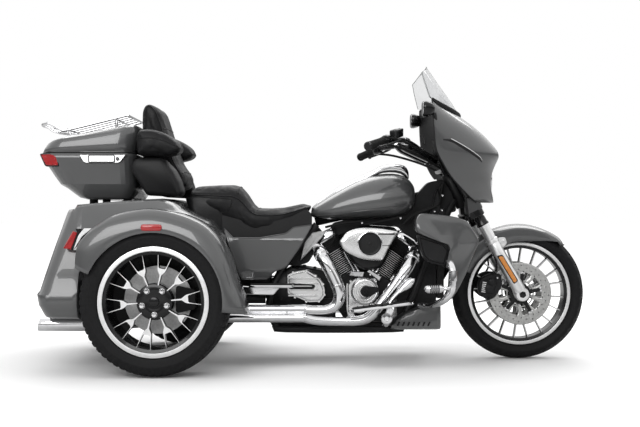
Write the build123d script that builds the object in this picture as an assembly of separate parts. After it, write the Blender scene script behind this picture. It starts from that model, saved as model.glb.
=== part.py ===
"""Motorized trike: one steered front wheel, two driven rear wheels, a body with a
trunk between them, a top case, a V-twin engine, a fork-mounted fairing and lowers.

Row frame, millimetres: +X forward, +Y to the rider's left, +Z up. The origin is on
the floor, on the centreline, at the middle of the overall length.
"""
from build123d import *
from math import atan2, cos, degrees, radians, sin, tan
import os

os.makedirs("parts", exist_ok=True)

# ---------------------------------------------------------------- driving dimensions
FRONT_X, FRONT_R, FRONT_HALF = 1001.0, 319.3, 65.0      # front axle, tyre radius, half width
REAR_X, REAR_R, REAR_HALF = -679.0, 325.4, 106.5        # rear axle, tyre radius, half width
RAKE = 26.0                                             # steering axis from the vertical
STEER_FOOT = 1100.6                                     # where the steering axis meets the floor
LEG_Y, LEG_ANGLE = 118.0, 29.2                          # fork leg spacing and its lean
TUB_HALF = 440.0                                        # half width of the body between the wheels
TYRE_GAP, WELL_GAP = 18.5, 22.0                         # rear tyre to the body's side, and to the wheel arch
REAR_Y = TUB_HALF + TYRE_GAP + REAR_HALF                # middle of each rear tyre
TAIL_HALF = REAR_Y + 35.0                               # half width of the body behind the wheels
CASE_HALF, CASE_SEAM = 300.0, 987.0                     # top case half width and seam height
CASE_WALL = 5.0                                         # top case shells
CASE_FRONT = -822.0                                     # gap between case lid and backrest
CRANK_X, CRANK_Z = 245.0, 280.0                         # crankshaft centre
REAR_LEAN, FRONT_LEAN = 31.5, 35.0                      # cylinder axes from the vertical
EXHAUST_Y = 236.0                                       # header plane on the right side
TIP_Y, TIP_Z = 430.0, 209.0                             # exhaust tips
GAP = 0.3                                               # between faces of touching parts
FLANGE = 8.0                                            # rim flange above the bead seat


def save(name, *solids):
    """Writes one node, made of one or more solids that don't touch."""
    whole = [part for shape in solids for part in shape.solids()]
    export_step(whole[0] if len(whole) == 1 else Compound(children=whole), f"parts/{name}.step")


def both(shape):
    """A shape and its mirror image on the other side of the centreline."""
    return [shape, mirror(shape, about=Plane.XZ)]


def outline(points, radius=0.0):
    """Closed X-Z face through points, its corners rounded."""
    places = [(x, 0, z) for x, z in points]
    line = FilletPolyline(*places, radius=radius, close=True) if radius else Polyline(*places, close=True)
    return make_face(line)


def prism(points, y0, y1, radius=0.0):
    """Plate with an X-Z outline, from y0 to y1."""
    return Pos(0, y0, 0) * extrude(outline(points, radius), amount=y1 - y0, dir=(0, 1, 0))


def disc_y(x, z, r, y0, y1):
    """Round plate or shaft along Y."""
    return Pos(x, (y0 + y1) / 2, z) * Rot(90, 0, 0) * Cylinder(r, abs(y1 - y0))


def ring_y(x, z, r_out, r_in, y0, y1):
    """Flat ring around an axis along Y."""
    return disc_y(x, z, r_out, y0, y1) - disc_y(x, z, r_in, min(y0, y1) - 1, max(y0, y1) + 1)


def rod(start, end, r):
    """Straight round bar between two points."""
    start, end = Vector(*start), Vector(*end)
    place = Plane(origin=start, z_dir=end - start)
    return place * extrude(Circle(r), amount=(end - start).length)


def tube(points, r, bend):
    """Round bar along straight runs joined by arcs."""
    path = FilletPolyline(*points, radius=bend) if len(points) > 2 else Line(*points)
    return sweep(Plane(origin=path @ 0, z_dir=path % 0) * Circle(r), path=path)


def box(x0, x1, y0, y1, z0, z1):
    """Block between two corners."""
    return Pos((x0 + x1) / 2, (y0 + y1) / 2, (z0 + z1) / 2) * Box(x1 - x0, y1 - y0, z1 - z0)


def hull_section(x, low, mid, top, half_low, half_mid, half_top, corner):
    """Six-cornered section across the vehicle at x, its corners rounded."""
    points = [(-half_low, low), (half_low, low), (half_mid, mid), (half_top, top), (-half_top, top),
              (-half_mid, mid)]
    face = fillet(make_face(Polyline(*points, close=True)).vertices(), corner)
    return Plane(origin=(x, 0, 0), x_dir=(0, 1, 0), z_dir=(1, 0, 0)) * face


def flat_section(z, x0, x1, half, corner, tilt=0.0):
    """Rounded rectangle at height z, tilted nose-up by tilt degrees."""
    place = Plane(origin=((x0 + x1) / 2, 0, z), x_dir=(cos(radians(tilt)), 0, sin(radians(tilt))),
                  z_dir=(-sin(radians(tilt)), 0, cos(radians(tilt))))
    return place * RectangleRounded(x1 - x0, 2 * half, corner)


def steer_x(z):
    """Where the steering axis is at height z."""
    return STEER_FOOT - tan(radians(RAKE)) * z


def leg_x(z):
    """Where a fork leg's axis is at height z."""
    return FRONT_X - tan(radians(LEG_ANGLE)) * (z - FRONT_R)


# ---------------------------------------------------------------- wheels
def tyre(x, z, y, radius, half, bead_r, rim_half, shoulder):
    """Ring with a rounded crown and bulging walls, seated between the rim's flanges."""
    bead_half = rim_half - 8
    wall_r = (radius + bead_r) / 2
    edge = [
        Line((bead_half, bead_r), (-bead_half, bead_r)),
        ThreePointArc((-bead_half, bead_r), (-half, wall_r), (-half * 0.93, radius - shoulder)),
        ThreePointArc((-half * 0.93, radius - shoulder), (0, radius), (half * 0.93, radius - shoulder)),
        ThreePointArc((half * 0.93, radius - shoulder), (half, wall_r), (bead_half, bead_r)),
    ]
    profile = Plane(origin=(0, 0, 0), x_dir=(0, 1, 0), z_dir=(1, 0, 0)) * make_face(edge)
    ring = revolve(profile, Axis.Y)
    for side in (-1, 1):
        ring -= disc_y(0, 0, bead_r + FLANGE + GAP, *sorted((side * (rim_half + GAP), side * (rim_half - 9 - GAP))))
    return Pos(x, y, z) * ring


def wheel(x, z, y, rim_half, rim_r, bright_r, face, spoke_depth, hub_r, hub_half, fork_r, phase, side):
    """Rim with ten spokes that fork at fork_r. face is their outer plane from the middle, towards side."""
    barrel_r = bright_r - 8
    profile = [(-rim_half, rim_r + FLANGE), (-rim_half, barrel_r), (rim_half, barrel_r), (rim_half, rim_r + FLANGE),
               (rim_half - 6, rim_r + FLANGE), (rim_half - 9, rim_r), (rim_half - 30, rim_r - 4),
               (-rim_half + 30, rim_r - 4), (-rim_half + 9, rim_r), (-rim_half + 6, rim_r + FLANGE)]
    section = Plane(origin=(0, 0, 0), x_dir=(0, 1, 0), z_dir=(1, 0, 0)) * make_face(
        Polyline(*profile, close=True))
    made = revolve(section, Axis.Y)
    tip_r, tip_angle = barrel_r + 3, 8.5
    tip_x, tip_z = tip_r * sin(radians(tip_angle)), tip_r * cos(radians(tip_angle))
    spoke = [(-8, hub_r - 6), (8, hub_r - 6), (7, fork_r - 14), (13, fork_r + 6), (tip_x + 4, tip_z),
             (tip_x - 5, tip_z), (5, fork_r + 14), (-5, fork_r + 14), (-tip_x + 5, tip_z),
             (-tip_x - 4, tip_z), (-13, fork_r + 6), (-7, fork_r - 14)]
    inner, outer = sorted((side * face, side * (face - spoke_depth)))
    for turn in range(10):
        made += Rot(0, phase + 36 * turn, 0) * prism(spoke, inner, outer)
    made += disc_y(0, 0, hub_r, -hub_half, hub_half)
    made += disc_y(0, 0, hub_r, *sorted((side * face, 0)))
    return Pos(x, y, z) * made


def brake_disc(x, z, r, hole_r, y, thickness):
    """Plain disc with a ring of windows inside its track."""
    made = ring_y(x, z, r, hole_r, y - thickness / 2, y + thickness / 2)
    for turn in range(8):
        angle = radians(45 * turn + 20)
        window_r = (hole_r + r * 0.74) / 2
        made -= disc_y(x + window_r * sin(angle), z + window_r * cos(angle), 13, y - 9, y + 9)
    return made


FRONT_BEAD, REAR_BEAD = 241.0, 231.0
FRONT_RIM_HALF, REAR_RIM_HALF = 50.0, 98.0
DISC_Y, DISC_R = 75.0, 150.0
front_tyre = tyre(FRONT_X, FRONT_R, 0, FRONT_R, FRONT_HALF, FRONT_BEAD, FRONT_RIM_HALF, 24)
front_wheel = wheel(FRONT_X, FRONT_R, 0, FRONT_RIM_HALF, FRONT_BEAD - GAP, 233, 22, 44, 52, 66, 92, -4, -1)
front_wheel -= disc_y(FRONT_X, FRONT_R, 14, -70, 70)
front_discs = [brake_disc(FRONT_X, FRONT_R, DISC_R, 60, side * DISC_Y, 5) for side in (-1, 1)]
front_carriers = [ring_y(FRONT_X, FRONT_R, 72, 14, side * 66.3, side * 72.2) for side in (-1, 1)]
save("front_tyre", front_tyre)
save("front_wheel", front_wheel)
save("front_discs", *front_discs, *front_carriers)

REAR_FACE = 60.0
REAR_DISC_Y = REAR_Y - 40
for name, side in (("right", -1), ("left", 1)):
    mid = side * REAR_Y
    save(f"rear_tyre_{name}", tyre(REAR_X, REAR_R, mid, REAR_R, REAR_HALF, REAR_BEAD, REAR_RIM_HALF, 12))
    hub = wheel(REAR_X, REAR_R, mid, REAR_RIM_HALF, REAR_BEAD - GAP, 219, REAR_FACE, 34, 75, 26, 128, 13, side)
    for turn in range(5):
        angle = radians(72 * turn - 36)
        nut = mid + side * REAR_FACE
        hub += disc_y(REAR_X + 61 * sin(angle), REAR_R + 61 * cos(angle), 9, *sorted((nut, nut + side * 12)))
    hub += ring_y(REAR_X, REAR_R, DISC_R, 60, *sorted((side * (REAR_DISC_Y - 14), side * (REAR_DISC_Y - 20))))
    hub += ring_y(REAR_X, REAR_R, 66, 40.5, *sorted((side * (REAR_DISC_Y - 20), side * (REAR_Y - 24))))
    save(f"rear_wheel_{name}", hub)

# ---------------------------------------------------------------- rear axle and suspension
DIFF_R = 92.0
axle = Pos(REAR_X, 0, REAR_R) * Sphere(DIFF_R)
WELL_SIDE = TUB_HALF + 15.0             # inner side of the wheel wells
axle += rod((REAR_X, -WELL_SIDE, REAR_R), (REAR_X, WELL_SIDE, REAR_R), 34)
for side in (-1, 1):
    axle += disc_y(REAR_X, REAR_R, 39.5, *sorted((side * WELL_SIDE, side * (REAR_Y - 27))))
save("rear_axle", axle)

ARM_Y = 150.0
arm = tube([(-224, ARM_Y, 300), (-420, ARM_Y, 300), (REAR_X + 10, ARM_Y, REAR_R)], 22, 300)
arm -= disc_y(REAR_X, REAR_R, 34 + GAP, 100, 200)
SHOCK_Y = 250.0
shock_foot, shock_top = Vector(REAR_X + 36, SHOCK_Y, REAR_R + 24), Vector(-430, SHOCK_Y, 412)
shock = rod(shock_foot, shock_top, 12)
turns = 8
for turn in range(turns):
    at = shock_foot + (shock_top - shock_foot) * (0.18 + 0.09 * turn)
    shock += Plane(origin=at, z_dir=shock_top - shock_foot) * Torus(26, 6)
    shock += Plane(origin=at, z_dir=shock_top - shock_foot) * Cylinder(26, 3)
save("rear_suspension", *both(arm), *both(shock))

caliper_side = [(-600, 390), (-515, 370), (-515, 285), (-600, 265)]
caliper = prism(caliper_side, REAR_DISC_Y - 48, REAR_DISC_Y - 2, 12)
caliper -= disc_y(REAR_X, REAR_R, DISC_R + 5, REAR_DISC_Y - 25, REAR_DISC_Y - 9)
save("rear_calipers", *both(caliper))

# ---------------------------------------------------------------- rear body, fenders, trunk door
TAIL_SLOPE = 0.30                       # the rear face leans forward by this per unit of height
TAIL_X, TAIL_Z = -1216.0, 366.0         # rear face at the bumper line
DOOR_HALF, DOOR_LOW, DOOR_HIGH = 330.0, 385.0, 700.0
DOOR_THICK, DOOR_GAP = 26.0, 5.0


def tail_x(z):
    """Where the rear face is at height z."""
    return TAIL_X + TAIL_SLOPE * (z - TAIL_Z)


BODY_SIDE = [(-1112, 722), (-1052, 746), (-803, 766), (-640, 774), (-592, 722), (-465, 668), (-405, 594),
             (-405, 470), (-520, 440), (-1000, 440), (-1010, 242), (-1171, 250), (-1196, 270),
             (tail_x(345), 345), (tail_x(372), 372)]
body = prism(BODY_SIDE, -TUB_HALF, TUB_HALF)
TAIL_FRONT = -1018.0                    # where the body behind the wheels ends


def tail_outline(inset, top):
    """X-Z face of the body behind the wheels, its rear face set in and its deck at height top."""
    return outline([(tail_x(top - 22) + inset, top - 22), (tail_x(top) + 50, top), (TAIL_FRONT, top + 2), (TAIL_FRONT, 242),
                    (-1171 + inset, 250), (-1196 + inset, 270), (tail_x(345) + inset, 345),
                    (tail_x(372) + inset, 372)])


tail_steps = [  # y, rear inset, deck height
    (0, 0, 746),
    (DOOR_HALF + 30, 0, 746),
    (TAIL_HALF - 100, 15, 746),
    (TAIL_HALF - 81, 19, 731),
    (TAIL_HALF - 34, 36, 562),
    (TAIL_HALF - 10, 60, 450),
    (TAIL_HALF, 95, 420),
]
tail_half = loft([Pos(0, y, 0) * tail_outline(inset, top) for y, inset, top in tail_steps], ruled=True)
# Shoulder of the deck beside the tub: the deck's edge, its chamfer, and a foot under the fender's ridge.
DECK_EDGE = TAIL_HALF - 95
DECK_LINE = [(TAIL_FRONT, 748), (-940, 755), (-803, 766), (-640, 774), (-592, 722), (-520, 690)]
SHOULDER_FOOT = [(TAIL_FRONT, 575), (-940, 636), (-803, 702), (-640, 712), (-592, 700), (-520, 680)]


def shoulder_outline(points, drop):
    """X-Z face under a run of points, lowered by drop."""
    return outline([(x, z - drop) for x, z in points] + [(-520, 540), (TAIL_FRONT, 540)])


shoulder = loft([Pos(0, TUB_HALF - 10, 0) * shoulder_outline(DECK_LINE, 0), Pos(0, DECK_EDGE, 0) * shoulder_outline(DECK_LINE, 0),
                 Pos(0, DECK_EDGE + 14, 0) * shoulder_outline(DECK_LINE, 15),
                 Pos(0, DECK_EDGE + 57, 0) * shoulder_outline(SHOULDER_FOOT, 0)], ruled=True)
for half_shoulder in both(shoulder):
    body += half_shoulder
for half_tail in both(tail_half):
    body += half_tail
inner_side = [(-1080, 708), (-1045, 730), (-803, 751), (-648, 758), (-600, 706), (-475, 652), (-420, 588),
              (-420, 484), (-520, 455), (-1020, 455), (-1030, 262), (-1165, 262), (-1178, 290),
              (tail_x(372) + 30, 372)]
trunk_space = prism(inner_side, -TUB_HALF + 14, TUB_HALF - 14)
body -= trunk_space
tail_angle = degrees(atan2(TAIL_SLOPE, 1))
door_mid = (DOOR_LOW + DOOR_HIGH) / 2
door_plane = Plane(origin=(tail_x(door_mid), 0, door_mid), x_dir=(0, 1, 0),
                   z_dir=(-cos(radians(tail_angle)), 0, sin(radians(tail_angle))))
door_height = (DOOR_HIGH - DOOR_LOW) / cos(radians(tail_angle))
door = extrude(door_plane * RectangleRounded(2 * DOOR_HALF, door_height, 40), amount=-DOOR_THICK)
doorway = extrude(door_plane * RectangleRounded(2 * (DOOR_HALF + DOOR_GAP), door_height + 2 * DOOR_GAP, 44),
                  amount=-120)
doorway += extrude(door_plane * RectangleRounded(2 * (DOOR_HALF + DOOR_GAP), door_height + 2 * DOOR_GAP, 44),
                   amount=40)
body -= doorway
HINGE_X, HINGE_Z = tail_x(DOOR_LOW) - 6, DOOR_LOW - 8
PLATE_BOLT_Y, PLATE_BOLT_R, PLATE_Z = 70.0, 3.2, 560.0
for side in (-1, 1):
    door -= Plane(origin=(tail_x(PLATE_Z), side * PLATE_BOLT_Y, PLATE_Z), z_dir=door_plane.z_dir) * Cylinder(
        PLATE_BOLT_R, 3 * DOOR_THICK)
for y in (-230, 170):
    door += rod((HINGE_X, y, HINGE_Z), (HINGE_X, y + 60, HINGE_Z), 7)
    door += box(HINGE_X - 4, HINGE_X + 8, y, y + 60, HINGE_Z, HINGE_Z + 22)
save("trunk_door", door)

# Fender: swept over each rear wheel, its outer wall lipped around the tyre.
FENDER_IN = [  # degrees from the front around the axle, reach beyond the tyre
    (156, 41), (142, 87), (128.4, 95), (111.3, 90), (91.5, 81), (70, 82), (50.5, 67), (23.7, 34), (-7.5, 51)]
FENDER_OUT = [
    (155.8, 37), (143.5, 69), (131, 65), (112.4, 58), (91.7, 49), (69.5, 49), (50.1, 38), (21.6, 13), (-7.8, 39)]


def around_wheel(degrees_up, over):
    """Place beside a rear tyre: an angle from the front, and a reach beyond the tread."""
    a, reach = radians(degrees_up), REAR_R + over
    return (REAR_X + reach * cos(a), REAR_R + reach * sin(a))


def arch_outline(rows):
    """X-Z face under a run of arcs, each through the next two places."""
    places = [(x, 0, z) for x, z in (around_wheel(*row) for row in rows)]
    arcs = [ThreePointArc(*places[i:i + 3]) for i in range(0, len(places) - 2, 2)]
    (x0, y0, z0), (x1, y1, z1) = places[0], places[-1]
    inner = [(x1, y1, z1), (REAR_X + REAR_R * 0.85, 0, z1), (REAR_X + REAR_R * 0.85, 0, z0), (x0, y0, z0)]
    return make_face([*arcs, Polyline(*inner)])


FENDER_Y, FENDER_EDGE = REAR_Y + 75, REAR_Y + 130
fender = Pos(0, TUB_HALF + GAP, 0) * extrude(arch_outline(FENDER_IN), amount=FENDER_Y - TUB_HALF - GAP, dir=(0, 1, 0))
fender += loft([Pos(0, FENDER_Y, 0) * arch_outline(FENDER_IN), Pos(0, FENDER_EDGE, 0) * arch_outline(FENDER_OUT)],
               ruled=True)
well_r = REAR_R + WELL_GAP
lip_r = REAR_R - 27
fender -= disc_y(REAR_X, REAR_R, well_r, WELL_SIDE, FENDER_EDGE - 10)
fender -= disc_y(REAR_X, REAR_R, lip_r, WELL_SIDE, FENDER_EDGE + 20)
FENDER_FRONT_Z, FENDER_REAR_Z = around_wheel(*FENDER_IN[-1])[1] + 1, around_wheel(*FENDER_IN[0])[1] + 1
fender -= box(REAR_X, REAR_X + 2 * REAR_R, TUB_HALF - 5, FENDER_EDGE + 5, 0, FENDER_FRONT_Z)
fender -= box(REAR_X - 2 * REAR_R, REAR_X + 5, TUB_HALF - 5, FENDER_EDGE + 5, 0, FENDER_REAR_Z)
fender = mirror(fender, about=Plane.XZ)
body -= disc_y(REAR_X, REAR_R, well_r, -TAIL_HALF - 5, -TUB_HALF)
body -= disc_y(REAR_X, REAR_R, well_r, TUB_HALF, TAIL_HALF + 5)
body -= both(fender)
body -= both(Pos(0, 0, GAP) * fender)
body -= door
save("rear_body", body)
save("rear_fenders", *both(fender))

LAMP_Z = 556.0
lamp = prism([(tail_x(LAMP_Z) + 83, LAMP_Z), (tail_x(LAMP_Z) + 129, LAMP_Z - 6), (TAIL_FRONT + 2, LAMP_Z + 44),
              (TAIL_FRONT + 2, LAMP_Z + 84), (TAIL_FRONT - 22, LAMP_Z + 72)], -TAIL_HALF + 6, -TAIL_HALF + 72)
lamp = lamp - body - fender
marker = box(REAR_X - 45, REAR_X + 40, -FENDER_EDGE - 7, -FENDER_EDGE - GAP, 2 * REAR_R - 18, 2 * REAR_R + 7)

# ---------------------------------------------------------------- top case
case_levels = [  # z, x rear, x front, half width, corner radius
    (778, -1082, -850, CASE_HALF - 60, 60),
    (842, -1184, -840, CASE_HALF - 24, 70),
    (CASE_SEAM - 2, -1272, CASE_FRONT - 4, CASE_HALF, 90),
]
lid_levels = [  # z in the middle, x rear, x front, half width, corner radius, tilt
    (CASE_SEAM + 2, -1274, CASE_FRONT - 4, CASE_HALF, 90, 0),
    (1056, -1222, CASE_FRONT - 6, CASE_HALF - 10, 85, 7),
    (1092, -1150, CASE_FRONT - 20, CASE_HALF - 55, 60, 12),
]
base = loft([flat_section(*row) for row in case_levels])
base_space = loft([flat_section(z + rise, a + CASE_WALL, b - CASE_WALL, h - CASE_WALL, r - CASE_WALL)
                   for (z, a, b, h, r), rise in zip(case_levels, (CASE_WALL, 0, CASE_WALL))])
lid = loft([flat_section(*row) for row in lid_levels])
lid_space = loft([flat_section(z - drop, a + CASE_WALL, b - CASE_WALL, h - CASE_WALL, r - CASE_WALL, t)
                  for (z, a, b, h, r, t), drop in zip(lid_levels, (CASE_WALL, 0, CASE_WALL))])
FOOT_R = 16.0
tray = base - base_space
for x, deck_z in ((-1040, 747), (-880, 760)):
    for y in (-150, 150):
        tray += Pos(x, y, (deck_z + 775) / 2) * Cylinder(FOOT_R, 791 - deck_z) - body
lid = lid - lid_space
LID_HINGE_Y, LID_HINGE_R, KNUCKLE = CASE_HALF + 2, 7.0, 40.0
for x in (-1130, -1030):
    knuckles = []
    for start in (x, x + KNUCKLE + 5):
        knuckles.append(rod((start, LID_HINGE_Y, CASE_SEAM), (start + KNUCKLE, LID_HINGE_Y, CASE_SEAM), LID_HINGE_R))
        room = rod((start - 2, LID_HINGE_Y, CASE_SEAM), (start + KNUCKLE + 2, LID_HINGE_Y, CASE_SEAM), LID_HINGE_R + 1.5)
        if start == x:
            tray -= room
        else:
            lid -= room
    lid += knuckles[0]
    tray += knuckles[1]
save("top_case_base", tray)
save("top_case_lid", lid)

latch = prism([(-1082, 983), (-1059, 938), (-884, 938), (-850, 983)], -CASE_HALF - 14, -CASE_HALF + 30)
latch -= base
save("top_case_latch", latch)
case_lamp = prism([(-1262, CASE_SEAM - 3), (-1186, CASE_SEAM - 3), (-1172, CASE_SEAM - 63), (-1236, CASE_SEAM - 63)],
                  -CASE_HALF + 5, -CASE_HALF + 100)
save("rear_lamps", *both(case_lamp - base - base_space), *both(lamp), *both(marker))

rack_bars = []
RACK_HALF, RACK_TIP, RACK_BOW = 200.0, -1314.0, 66.0
for y in (-200, -120, -40, 40, 120, 200):
    tip = RACK_TIP + RACK_BOW * (y / RACK_HALF) ** 2
    rack_bars.append(tube([(tip, y, 1132), (tip + 56, y, 1102), (-1150, y, 1104), (-880, y, 1168)], 5, 30))
rack = rack_bars[0]
for bar in rack_bars[1:]:
    rack += bar
rack += rod((-880, -RACK_HALF, 1168), (-880, RACK_HALF, 1168), 6)
bow = ThreePointArc((RACK_TIP + RACK_BOW, -RACK_HALF, 1132), (RACK_TIP, 0, 1132), (RACK_TIP + RACK_BOW, RACK_HALF, 1132))
rack += sweep(Plane(origin=bow @ 0, z_dir=bow % 0) * Circle(6), path=bow)
for x, z in ((-1150, 1110), (-930, 1161)):
    rack += rod((x, -215, z), (x, 215, z), 6)
    for y in (-180, 180):
        rack += rod((x, y, z), (x, y, 1060), 7)
save("luggage_rack", rack - lid - lid_space)

# ---------------------------------------------------------------- backrest, armrests, seat
backrest_side = [(-812, 800), (-812, 1160), (-806, 1222), (-788, 1238), (-764, 1235), (-730, 1201), (-692, 1091),
                 (-662, 1000), (-640, 945), (-603, 895), (-585, 845), (-600, 826), (-770, 800)]
backrest = prism(backrest_side, -165, 165)
arm_side = [(-812, 1075), (-800, 1096), (-732, 1095), (-671, 1075), (-621, 1039), (-593, 1003), (-606, 984),
            (-660, 970), (-812, 972)]
armrest = prism(arm_side, 190, 340)
armrest += prism([(-812, 972), (-812, 1096), (-720, 1096), (-700, 1040), (-700, 972)], 166, 200)
pod_side = [(-812, 966), (-836, 945), (-843, 908), (-824, 875), (-768, 785), (-611, 777), (-594, 802),
            (-611, 858), (-639, 914), (-684, 959), (-700, 966)]
pod = prism(pod_side, 168, 330) - base - base_space - body
save("backrest", backrest)
save("armrests", *both(armrest))
save("speaker_pods", *both(pod))

seat_rows = [  # x, low, middle, top, half widths at each, corner radius
    (-576, 792, 806, 826, 150, 165, 140, 9),
    (-500, 690, 760, 838, 150, 180, 145, 22),
    (-360, 602, 720, 838, 130, 185, 140, 24),
    (-262, 600, 670, 728, 130, 190, 150, 22),
    (-140, 622, 680, 736, 115, 180, 120, 20),
    (-6, 738, 747, 760, 60, 75, 55, 6),
]
seat = loft([hull_section(*row) for row in seat_rows])

# ---------------------------------------------------------------- tank and its console
tank_rows = [  # x, low, middle, top, half widths at each, corner radius
    (-8, 694, 712, 736, 62, 82, 48, 9),
    (70, 676, 735, 792, 100, 128, 78, 24),
    (200, 670, 752, 858, 118, 156, 88, 34),
    (330, 680, 772, 900, 122, 172, 92, 38),
    (430, 702, 790, 902, 105, 165, 84, 38),
    (492, 758, 805, 862, 56, 105, 50, 20),
]
tank = loft([hull_section(*row) for row in tank_rows])
tank -= prism([(-40, 600), (-40, 712), (520, 800), (520, 600)], -40, 40)
console_side = [(-6, 742), (70, 800), (145, 848), (220, 884), (287, 908), (317, 933), (370, 946), (437, 946),
                (455, 936), (468, 908), (486, 880), (480, 820), (300, 820), (60, 740)]
console = prism(console_side, -52, 52) - tank
console = max(console.solids(), key=lambda solid: solid.bounding_box().max.Z)
tunnel = prism([(-40, 600), (-40, 712), (520, 800), (520, 600)], -41, 41)
save("tank_console", console - tunnel)
save("fuel_tank", tank)
seat -= tank
seat -= body
save("seat", max(seat.solids(), key=lambda solid: solid.volume))

cover_side = [(-404, 592), (-375, 588), (-248, 590), (-126, 612), (-90, 641), (-47, 652), (-3, 652), (-61, 548),
              (-126, 454), (-184, 432), (-212, 396), (-404, 396)]
cover = prism(cover_side, 186, 210)
save("side_covers", *both(cover - seat))

# ---------------------------------------------------------------- frame
RAIL_Y, RAIL_Z, RAIL_R = 140.0, 156.0, 17.0
NECK_LOW, NECK_HIGH = 742.0, 900.0
rail = tube([(steer_x(785) - 30, 30, 770), (575, 95, 560), (438, RAIL_Y, 215), (395, RAIL_Y, RAIL_Z),
             (-170, RAIL_Y, RAIL_Z), (-205, RAIL_Y, 300), (-150, 128, 436), (18, 118, 652)], RAIL_R, 38)
seat_rail = tube([(18, 118, 640), (-150, 118, 582), (-384, 118, 576)], 12, 60)
spine = rod((steer_x(822), 0, 822), (10, 0, 672), 28)
spine += rod((18, -128, 660), (18, 128, 660), 16)
neck = rod((steer_x(NECK_LOW), 0, NECK_LOW), (steer_x(NECK_HIGH), 0, NECK_HIGH), 36)
stem_hole = rod((steer_x(NECK_LOW - 40), 0, NECK_LOW - 40), (steer_x(NECK_HIGH + 40), 0, NECK_HIGH + 40), 20)
cross = rod((-190, -RAIL_Y, 300), (-190, RAIL_Y, 300), 18)
rear_cross = rod((-380, -118, 576), (-380, 118, 576), 12)
front_cross = rod((438, -RAIL_Y, 215), (438, RAIL_Y, 215), 14)
frame = neck + spine + cross + rear_cross + front_cross
for piece in (*both(rail), *both(seat_rail)):
    frame += piece
frame -= stem_hole
frame -= tank
frame -= seat

# ---------------------------------------------------------------- engine
def lean_point(lean, along, across=0.0):
    """Point in a cylinder's plane: along its axis from the crankshaft, and across it forward."""
    a = radians(lean)
    return (CRANK_X + along * sin(a) + across * cos(a), CRANK_Z + along * cos(a) - across * sin(a))


case_side = [(105, 388), (150, 412), (205, 432), (292, 432), (345, 404), (392, 370), (380, 250), (335, 186),
             (160, 186), (112, 260)]
crankcase = prism(case_side, -118, 118)
cylinders, heads, rockers, pushrods = [], [], [], []
BARREL_LOW, BARREL_HIGH, HEAD_HIGH, ROCKER_HIGH = 152.0, 286.0, 342.0, 392.0
FIN_R, CORE_R, FIN_PITCH, FIN_THICK = 66.0, 50.0, 9.5, 4.0
for lean in (-REAR_LEAN, FRONT_LEAN):
    (x0, z0), (x1, z1) = lean_point(lean, BARREL_LOW), lean_point(lean, BARREL_HIGH)
    barrel = rod((x0, 0, z0), (x1, 0, z1), CORE_R)
    along = BARREL_LOW + 8
    while along + FIN_THICK < BARREL_HIGH - 2:
        (a0, b0), (a1, b1) = lean_point(lean, along), lean_point(lean, along + FIN_THICK)
        barrel += rod((a0, 0, b0), (a1, 0, b1), FIN_R)
        along += FIN_PITCH
    cylinders.append(barrel)
    head_side = [lean_point(lean, BARREL_HIGH + 1, -64), lean_point(lean, BARREL_HIGH + 1, 64),
                 lean_point(lean, HEAD_HIGH, 70), lean_point(lean, HEAD_HIGH, -70)]
    heads.append(prism(head_side, -84, 84, 8))
    rocker_side = [lean_point(lean, HEAD_HIGH + 1, -66), lean_point(lean, HEAD_HIGH + 1, 66),
                   lean_point(lean, ROCKER_HIGH - 14, 62), lean_point(lean, ROCKER_HIGH, 40),
                   lean_point(lean, ROCKER_HIGH, -40), lean_point(lean, ROCKER_HIGH - 14, -62)]
    rockers.append(prism(rocker_side, -96, 96, 6))
crankcase -= [cylinders[0], cylinders[1]]
PUSHROD_Y = 127.0
rod_ends = [((150, 524), (203, 424)), ((356, 520), (300, 420))]
for (xa, za), (xb, zb) in rod_ends:
    pushrods.append(rod((xa, -PUSHROD_Y, za), (xb, -PUSHROD_Y, zb), 8))
tappets = [prism([(176, 408), (184, 430), (246, 428), (240, 404)], -150, -119, 3),
           prism([(258, 428), (268, 440), (328, 404), (318, 384)], -150, -119, 3)]
save("pushrod_tubes", pushrods[0] + tappets[0], pushrods[1] + tappets[1])
save("engine_case", crankcase)
save("cylinders", *cylinders)
save("cylinder_heads", *heads)
save("rocker_covers", *[r - tank - spine for r in rockers])

cam_side = [(166, 372), (196, 396), (240, 402), (300, 396), (318, 352), (300, 300), (272, 262), (236, 232),
            (168, 232)]
cam = prism(cam_side, -176, -119)
cam += disc_y(247, 338, 60, -206, -176)
save("cam_cover", cam - tappets[0] - tappets[1])

gearbox = prism([(-128, 300), (-128, 430), (-60, 452), (60, 430), (100, 380), (100, 240), (-60, 240)], -112, 112, 12)
gearbox_cover = [(-125, 419), (-82, 436), (-30, 444), (3, 425), (43, 395), (63, 349), (60, 310), (37, 284),
                 (-23, 282), (-69, 303), (-122, 322)]
save("transmission_case", gearbox - crankcase)
save("transmission_cover", prism(gearbox_cover, -198, -113, 6))

primary = loft([Pos(0, 119, 0) * (outline([(330, 370), (330, 200), (-120, 215), (-150, 400), (-40, 440)], 60)),
                Pos(0, 176, 0) * (outline([(322, 360), (322, 210), (-112, 225), (-140, 392), (-36, 430)], 54))], ruled=True)
primary += disc_y(-30, 326, 84, 176, 190)
save("primary_cover", primary)

eye = [(127, 569), (166, 622), (224, 639), (301, 637), (402, 620), (325, 488), (263, 488), (205, 502), (150, 529)]
save("air_cleaner", prism(eye, -252, -196))
back = [(150, 596), (230, 626), (380, 606), (330, 480), (300, 462), (240, 462), (190, 492)]
save("air_filter", prism(back, -195, -136, 10), disc_y(268, 565, 50, -264, -252 - GAP))

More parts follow.
